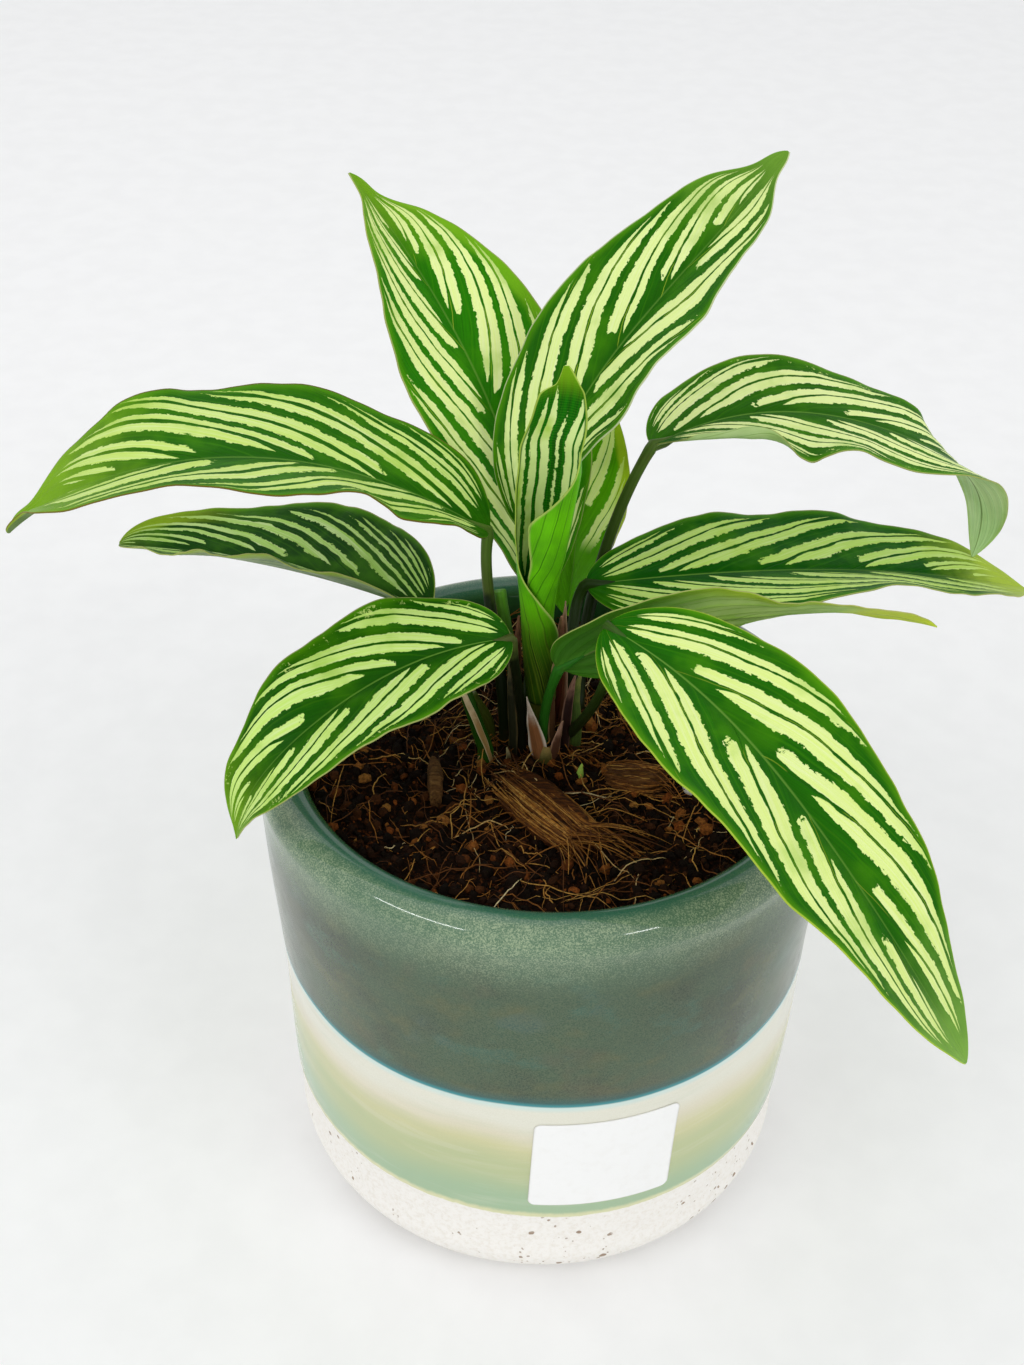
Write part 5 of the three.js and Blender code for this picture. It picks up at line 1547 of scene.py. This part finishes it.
def darkGlaze(tree, place, height, drifted, grain, fringe, clouds):
    # clouds of olive, teal and brown under a gold-flecked shoulder, with a teal line at the bottom and painted
    # shade on the lip's inner slope and the inside wall
    tones = glazeSet
    x, y, z = splitVector(tree, place)
    stains = noiseAt(tree, scaled(tree, place, (1.0, 1.0, 1.4)), 0.055, 4.0, 0.65)
    patches = noiseAt(tree, scaled(tree, place, (-1.0, 1.0, 1.2)), 0.04, 3.0, 0.6)
    high = mapRange(tree, z, tones["goldFrom"], tones["goldTo"])
    gold = times(tree, high, mapRange(tree, clouds, 0.3, 0.6, 0.6, 1.0))
    fleck = mapRange(tree, timesPlus(tree, grain, 0.85, times(tree, fringe, 0.2)), 0.48, 0.64)
    out = calc(tree, "SQRT", calc(tree, "ADD", times(tree, x, x), times(tree, y, y)))
    line = tones["lineAt"]
    return layered(
        tree, tones["main"],
        (mapRange(tree, clouds, 0.4, 0.62), tones["dusk"]),
        (mapRange(tree, stains, 0.5, 0.7, 0.0, 0.85), tones["olive"]),
        (mapRange(tree, stains, 0.3, 0.46, 0.85, 0.0), tones["teal"]),
        (mapRange(tree, patches, 0.54, 0.68, 0.0, 0.4), tones["brown"]),
        (mapRange(tree, patches, 0.3, 0.42, 0.6, 0.0), tones["blue"]),
        (mapRange(tree, grain, 0.35, 0.65, 0.0, 0.16), tones["speckled"]),
        (around(tree, drifted, tones["shoulderAt"], 12.0), tones["shoulder"]),
        (times(tree, gold, timesPlus(tree, fleck, 0.42, 0.12)), tones["gold"]),
        # painted shade: the lip's inner slope goes deep teal and the inside wall below it dark green
        (mapRange(tree, out, *tones["lipShadeFrom"], 0.85, 0.0), tones["lip"]),
        (mapRange(tree, out, *tones["insideShadeFrom"], 0.85, 0.0), tones["inside"]),
        (mapRange(tree, height, line + 5, line + 0.8, 0.0, 0.7), tones["lineDeep"]),
        (mapRange(tree, height, line + 1.8, line + 0.3, 0.0, 0.9), tones["line"]),
    )


def paleBand(tree, place, height, drifted, grain, frayed):
    # cream, straw, yellow-green and aqua run into each other
    tones = glazeSet
    streaks = noiseAt(tree, scaled(tree, place, (0.025, 0.025, 0.22)), 1.0, 3.0, 0.6)
    line = tones["lineAt"]
    band = layered(
        tree, tones["aqua"],
        (around(tree, drifted, tones["aquaAt"], 7.0), tones["yellow"]),
        (around(tree, drifted, tones["yellowAt"], 5.0), tones["straw"]),
        (around(tree, drifted, tones["strawAt"], 3.5), tones["beige"]),
        (around(tree, drifted, tones["beigeAt"], 3.5), tones["cream"]),
        (mapRange(tree, streaks, 0.45, 0.7, 0.0, 0.15), tones["streakGreen"]),
        (mapRange(tree, streaks, 0.3, 0.48, 0.15, 0.0), tones["streakPale"]),
        (mapRange(tree, grain, 0.35, 0.7, 0.0, 0.12), tones["streakBrown"]),
        (mapRange(tree, height, line - 2.6, line - 0.6, 0.0, 0.8), tones["halo"]),
    )
    return mixColour(tree, around(tree, frayed, tones["fringeAt"], 0.9), tones["fringe"], band)


def bareClay(tree, place, grit):
    clay = mixColour(tree, mapRange(tree, grit, 0.4, 0.75, 0.0, 0.4), glazeSet["clay"], glazeSet["clayShade"])
    group = makeSpecksGroup()
    for scale, size, patch, strength in glazeSet["specks"]:
        specks = useGroup(tree, group, {"Place": place, "Scale": scale, "Size": size, "Patch": patch})
        clay = mixColour(tree, times(tree, specks["Mask"], strength), clay, glazeSet["claySpeck"])
    return clay


def potMaterial():
    material, tree, sockets = newMaterial("glaze", 0.2, 0.12, glazeSet["coat"])
    place = placeInMm(tree)
    wave = noiseAt(tree, scaled(tree, place, (1.0, 1.0, 0.4)), 0.02, 2.0, 0.4)
    fringe = noiseAt(tree, place, 0.35, 4.0, 0.6)
    height = nudged(tree, splitVector(tree, place)[2], wave, 3.0)
    drifted = nudged(tree, height, noiseAt(tree, scaled(tree, place, (1.0, 1.0, 0.8)), 0.014, 2.0, 0.5), 22.0)
    frayed = nudged(tree, height, fringe, 1.6)
    grain = noiseAt(tree, place, 2.6, 3.0, 0.75)
    grit = noiseAt(tree, place, 0.8, 4.0, 0.7)
    clouds = noiseAt(tree, place, 0.024, 3.0, 0.55)

    dark = darkGlaze(tree, place, height, drifted, grain, fringe, clouds)
    pale = paleBand(tree, place, height, drifted, grain, frayed)
    shade = mixColour(tree, around(tree, height, glazeSet["lineAt"], 0.35), pale, dark)
    glazed = around(tree, frayed, glazeSet["clayAt"], 0.35)
    link(tree, sockets["Base Color"], mixColour(tree, glazed, bareClay(tree, place, grit), shade))

    wear = mapRange(tree, noiseAt(tree, place, 0.25, 3.0), 0.3, 0.8, 0.14, 0.26, kind="LINEAR")
    bare = times(tree, calc(tree, "SUBTRACT", 1.0, glazed), 0.55)
    link(tree, sockets["Roughness"], calc(tree, "ADD", wear, bare))
    link(tree, sockets["Coat Weight"], times(tree, glazed, glazeSet["coatWeight"]))
    rough = times(tree, grit, timesPlus(tree, glazed, -0.8, 0.85))
    addBump(tree, sockets, timesPlus(tree, clouds, 2.0, rough), 0.3, 0.001)
    return material


def potProfile():
    # radius and height from the middle of the underside, out, up, over the lip and down inside
    top, wall = potSet["height"], potSet["wall"]
    profile = list(potSet["underside"])
    footTop = outerRadius(potSet["footRoundHeight"])
    for k in range(17):
        angle = k / 16 * math.pi / 2
        profile.append((
            footTop - potSet["footRoundWidth"] * (1 - math.sin(angle)),
            potSet["footRoundHeight"] * (1 - math.cos(angle)),
        ))
    glazeEdge = glazeSet["clayAt"]
    for z in np.linspace(potSet["footRoundHeight"] + 2, glazeEdge - 0.6, 5):
        profile.append((outerRadius(z) - 0.25, z))
    for z in np.linspace(glazeEdge + 0.5, top - potSet["lipHeight"] - 0.8, 46):
        profile.append((outerRadius(z), z))
    lipBottom = top - potSet["lipHeight"]
    lipMiddle = outerRadius(lipBottom) - wall / 2
    for k in range(25):
        angle = k / 24 * math.pi
        lip = (wall / 2 * math.cos(angle), potSet["lipHeight"] * math.sin(angle))
        profile.append((lipMiddle + lip[0], lipBottom + lip[1]))
    for z in np.linspace(lipBottom - 2, potSet["floor"] + 3, 12):
        profile.append((innerRadius(z), z))
    floor = potSet["floor"]
    return profile + [(innerRadius(floor) - 2, floor + 0.5), (30, floor), (0.0, floor)]


def unevenWall(angle, z):
    # the hand-made wall is very slightly uneven, never outside the measured size
    return 0.22 * (np.sin(2 * angle + z * 0.05) + np.sin(3 * angle - z * 0.09 + 1)) - 0.44


def makePot():
    segments = potSet["segments"]
    angles = np.arange(segments) / segments * 2 * np.pi
    points, rings = [], []
    for radius, z in potProfile():
        # the underside and the lip are truer than the wall between them
        onWall = potSet["unevenFrom"] < z < potSet["unevenTo"]
        share = min(1.0, radius / 60) * (1.0 if onWall else 0.3)
        reach = radius + unevenWall(angles, z) * share
        ring = list(zip(reach * np.cos(angles), reach * np.sin(angles), np.full(segments, z)))
        if radius == 0:
            ring = [(0, 0, z)]
        rings.append(list(range(len(points), len(points) + len(ring))))
        points += ring
    makePiece("pot_glazed", points, ringFaces(rings), [potMaterial()], ["pot"])


# a plain white sticker, blank, on the front of the pot

labelSet = {
    "width": 38.0, "height": 34.4, "corner": 2.0, "thickness": 0.2, "azimuth": -76.7, "z": 54.6, "tilt": -1.1,
    "gap": 0.04, "curl": 0.2, "paper": "#fafaf9", "soft": "#f3f2ef", "edge": "#d6d3ca",
}


def paperMaterial():
    material, tree, sockets = newMaterial("sticker", 0.42, 0.5, {"Coat Weight": 0.25, "Coat Roughness": 0.2})
    place = placeInMm(tree)
    grime = noiseAt(tree, place, 0.3, 3.0, 0.6)
    shade = mixColour(tree, mapRange(tree, grime, 0.45, 0.8, 0.0, 0.5), labelSet["paper"], labelSet["soft"])
    halves = [timesPlus(tree, part, 2.0, -1.0) for part in uvPair(tree, "strip")[:2]]
    rim = calc(tree, "MAXIMUM", *(calc(tree, "ABSOLUTE", half) for half in halves))
    shade = mixColour(tree, mapRange(tree, rim, 0.975, 1.0, 0.0, 0.5), shade, labelSet["edge"])
    link(tree, sockets["Base Color"], shade)
    paper = noiseAt(tree, place, 2.4, 3.0)
    addBump(tree, sockets, timesPlus(tree, paper, 0.3, grime), 0.15, 0.0004)
    return material


def makeLabel():
    rows, columns = 61, 81
    tilt = math.radians(labelSet["tilt"])
    height, width, corner = labelSet["height"], labelSet["width"], labelSet["corner"]
    u = np.linspace(-0.5, 0.5, columns)
    angle = np.linspace(0, np.pi / 2, 11)
    nearEnd = height / 2 - corner * (1 - np.sin(angle[::-1]))
    middle = np.linspace(-height / 2 + corner, height / 2 - corner, rows - 20)
    v = np.concatenate([-nearEnd[:10], middle, nearEnd[:10][::-1]])
    fromEnd = height / 2 - np.abs(v)
    inset = corner - np.sqrt(np.maximum(corner ** 2 - np.maximum(corner - fromEnd, 0) ** 2, 0))
    across = u[None, :] * (width - 2 * inset)[:, None]
    x = across * math.cos(tilt) - v[:, None] * math.sin(tilt)
    z = labelSet["z"] + across * math.sin(tilt) + v[:, None] * math.cos(tilt)
    # its upper right corner curls off a little
    lifted = np.maximum(across / width * 2 - 0.75, 0) * np.maximum(v[:, None] / height * 2 - 0.5, 0)
    lifted *= labelSet["curl"] * 4
    turn = math.radians(labelSet["azimuth"]) + x / outerRadius(z)
    radius = outerRadius(z) + unevenWall(turn, z) + labelSet["gap"] + lifted
    out = np.stack([np.cos(turn), np.sin(turn), 0 * turn], -1)
    inner = out * radius[..., None]
    inner[..., 2] = z
    points, faces, cells, _ = closedSheet(inner + out * labelSet["thickness"], inner)
    pairs = [(v[i] / height + 0.5, u[j] + 0.5) for corners, _ in cells for i, j in corners]
    makePiece("label_blank", points, faces, [paperMaterial()], ["label"], None, {"strip": pairs})


def makeFloor():
    half = floorSet["size"] / 2
    mesh = bpy.data.meshes.new("floor")
    corners = [(-half, -half, 0), (half, -half, 0), (half, half, 0), (-half, half, 0)]
    mesh.from_pydata(corners, [], [(0, 1, 2, 3)])
    material, tree, sockets = newMaterial("floor", floorSet["roughness"], 0.2)
    speckle = noiseAt(tree, addNode(tree, "ShaderNodeTexCoord").outputs["Object"], 60.0, 3.0)
    speckle = mapRange(tree, speckle, 0.3, 0.7, 0.0, 0.3)
    link(tree, sockets["Base Color"], mixColour(tree, speckle, floorSet["colour"], floorSet["shade"]))
    mesh.materials.append(material)
    floor = bpy.data.objects.new("floor", mesh)
    bpy.context.scene.collection.objects.link(floor)


makeCamera()
makeLights()
makeFloor()
print("stage ready")

barsGroup = makeBarsGroup()
for seed, leaf in enumerate(leaves):
    makeLeaf(leaf, seed + 1, barsGroup)
makeRolledLeaf(barsGroup)
print("leaves grown")

makeCrown()
print("crown built")
makeSoil()
for chip in chips:
    makeChip(chip)
makeGrain()
makeSprout()
print("potting mix laid")
makePot()
makeLabel()
print("pot and label made")
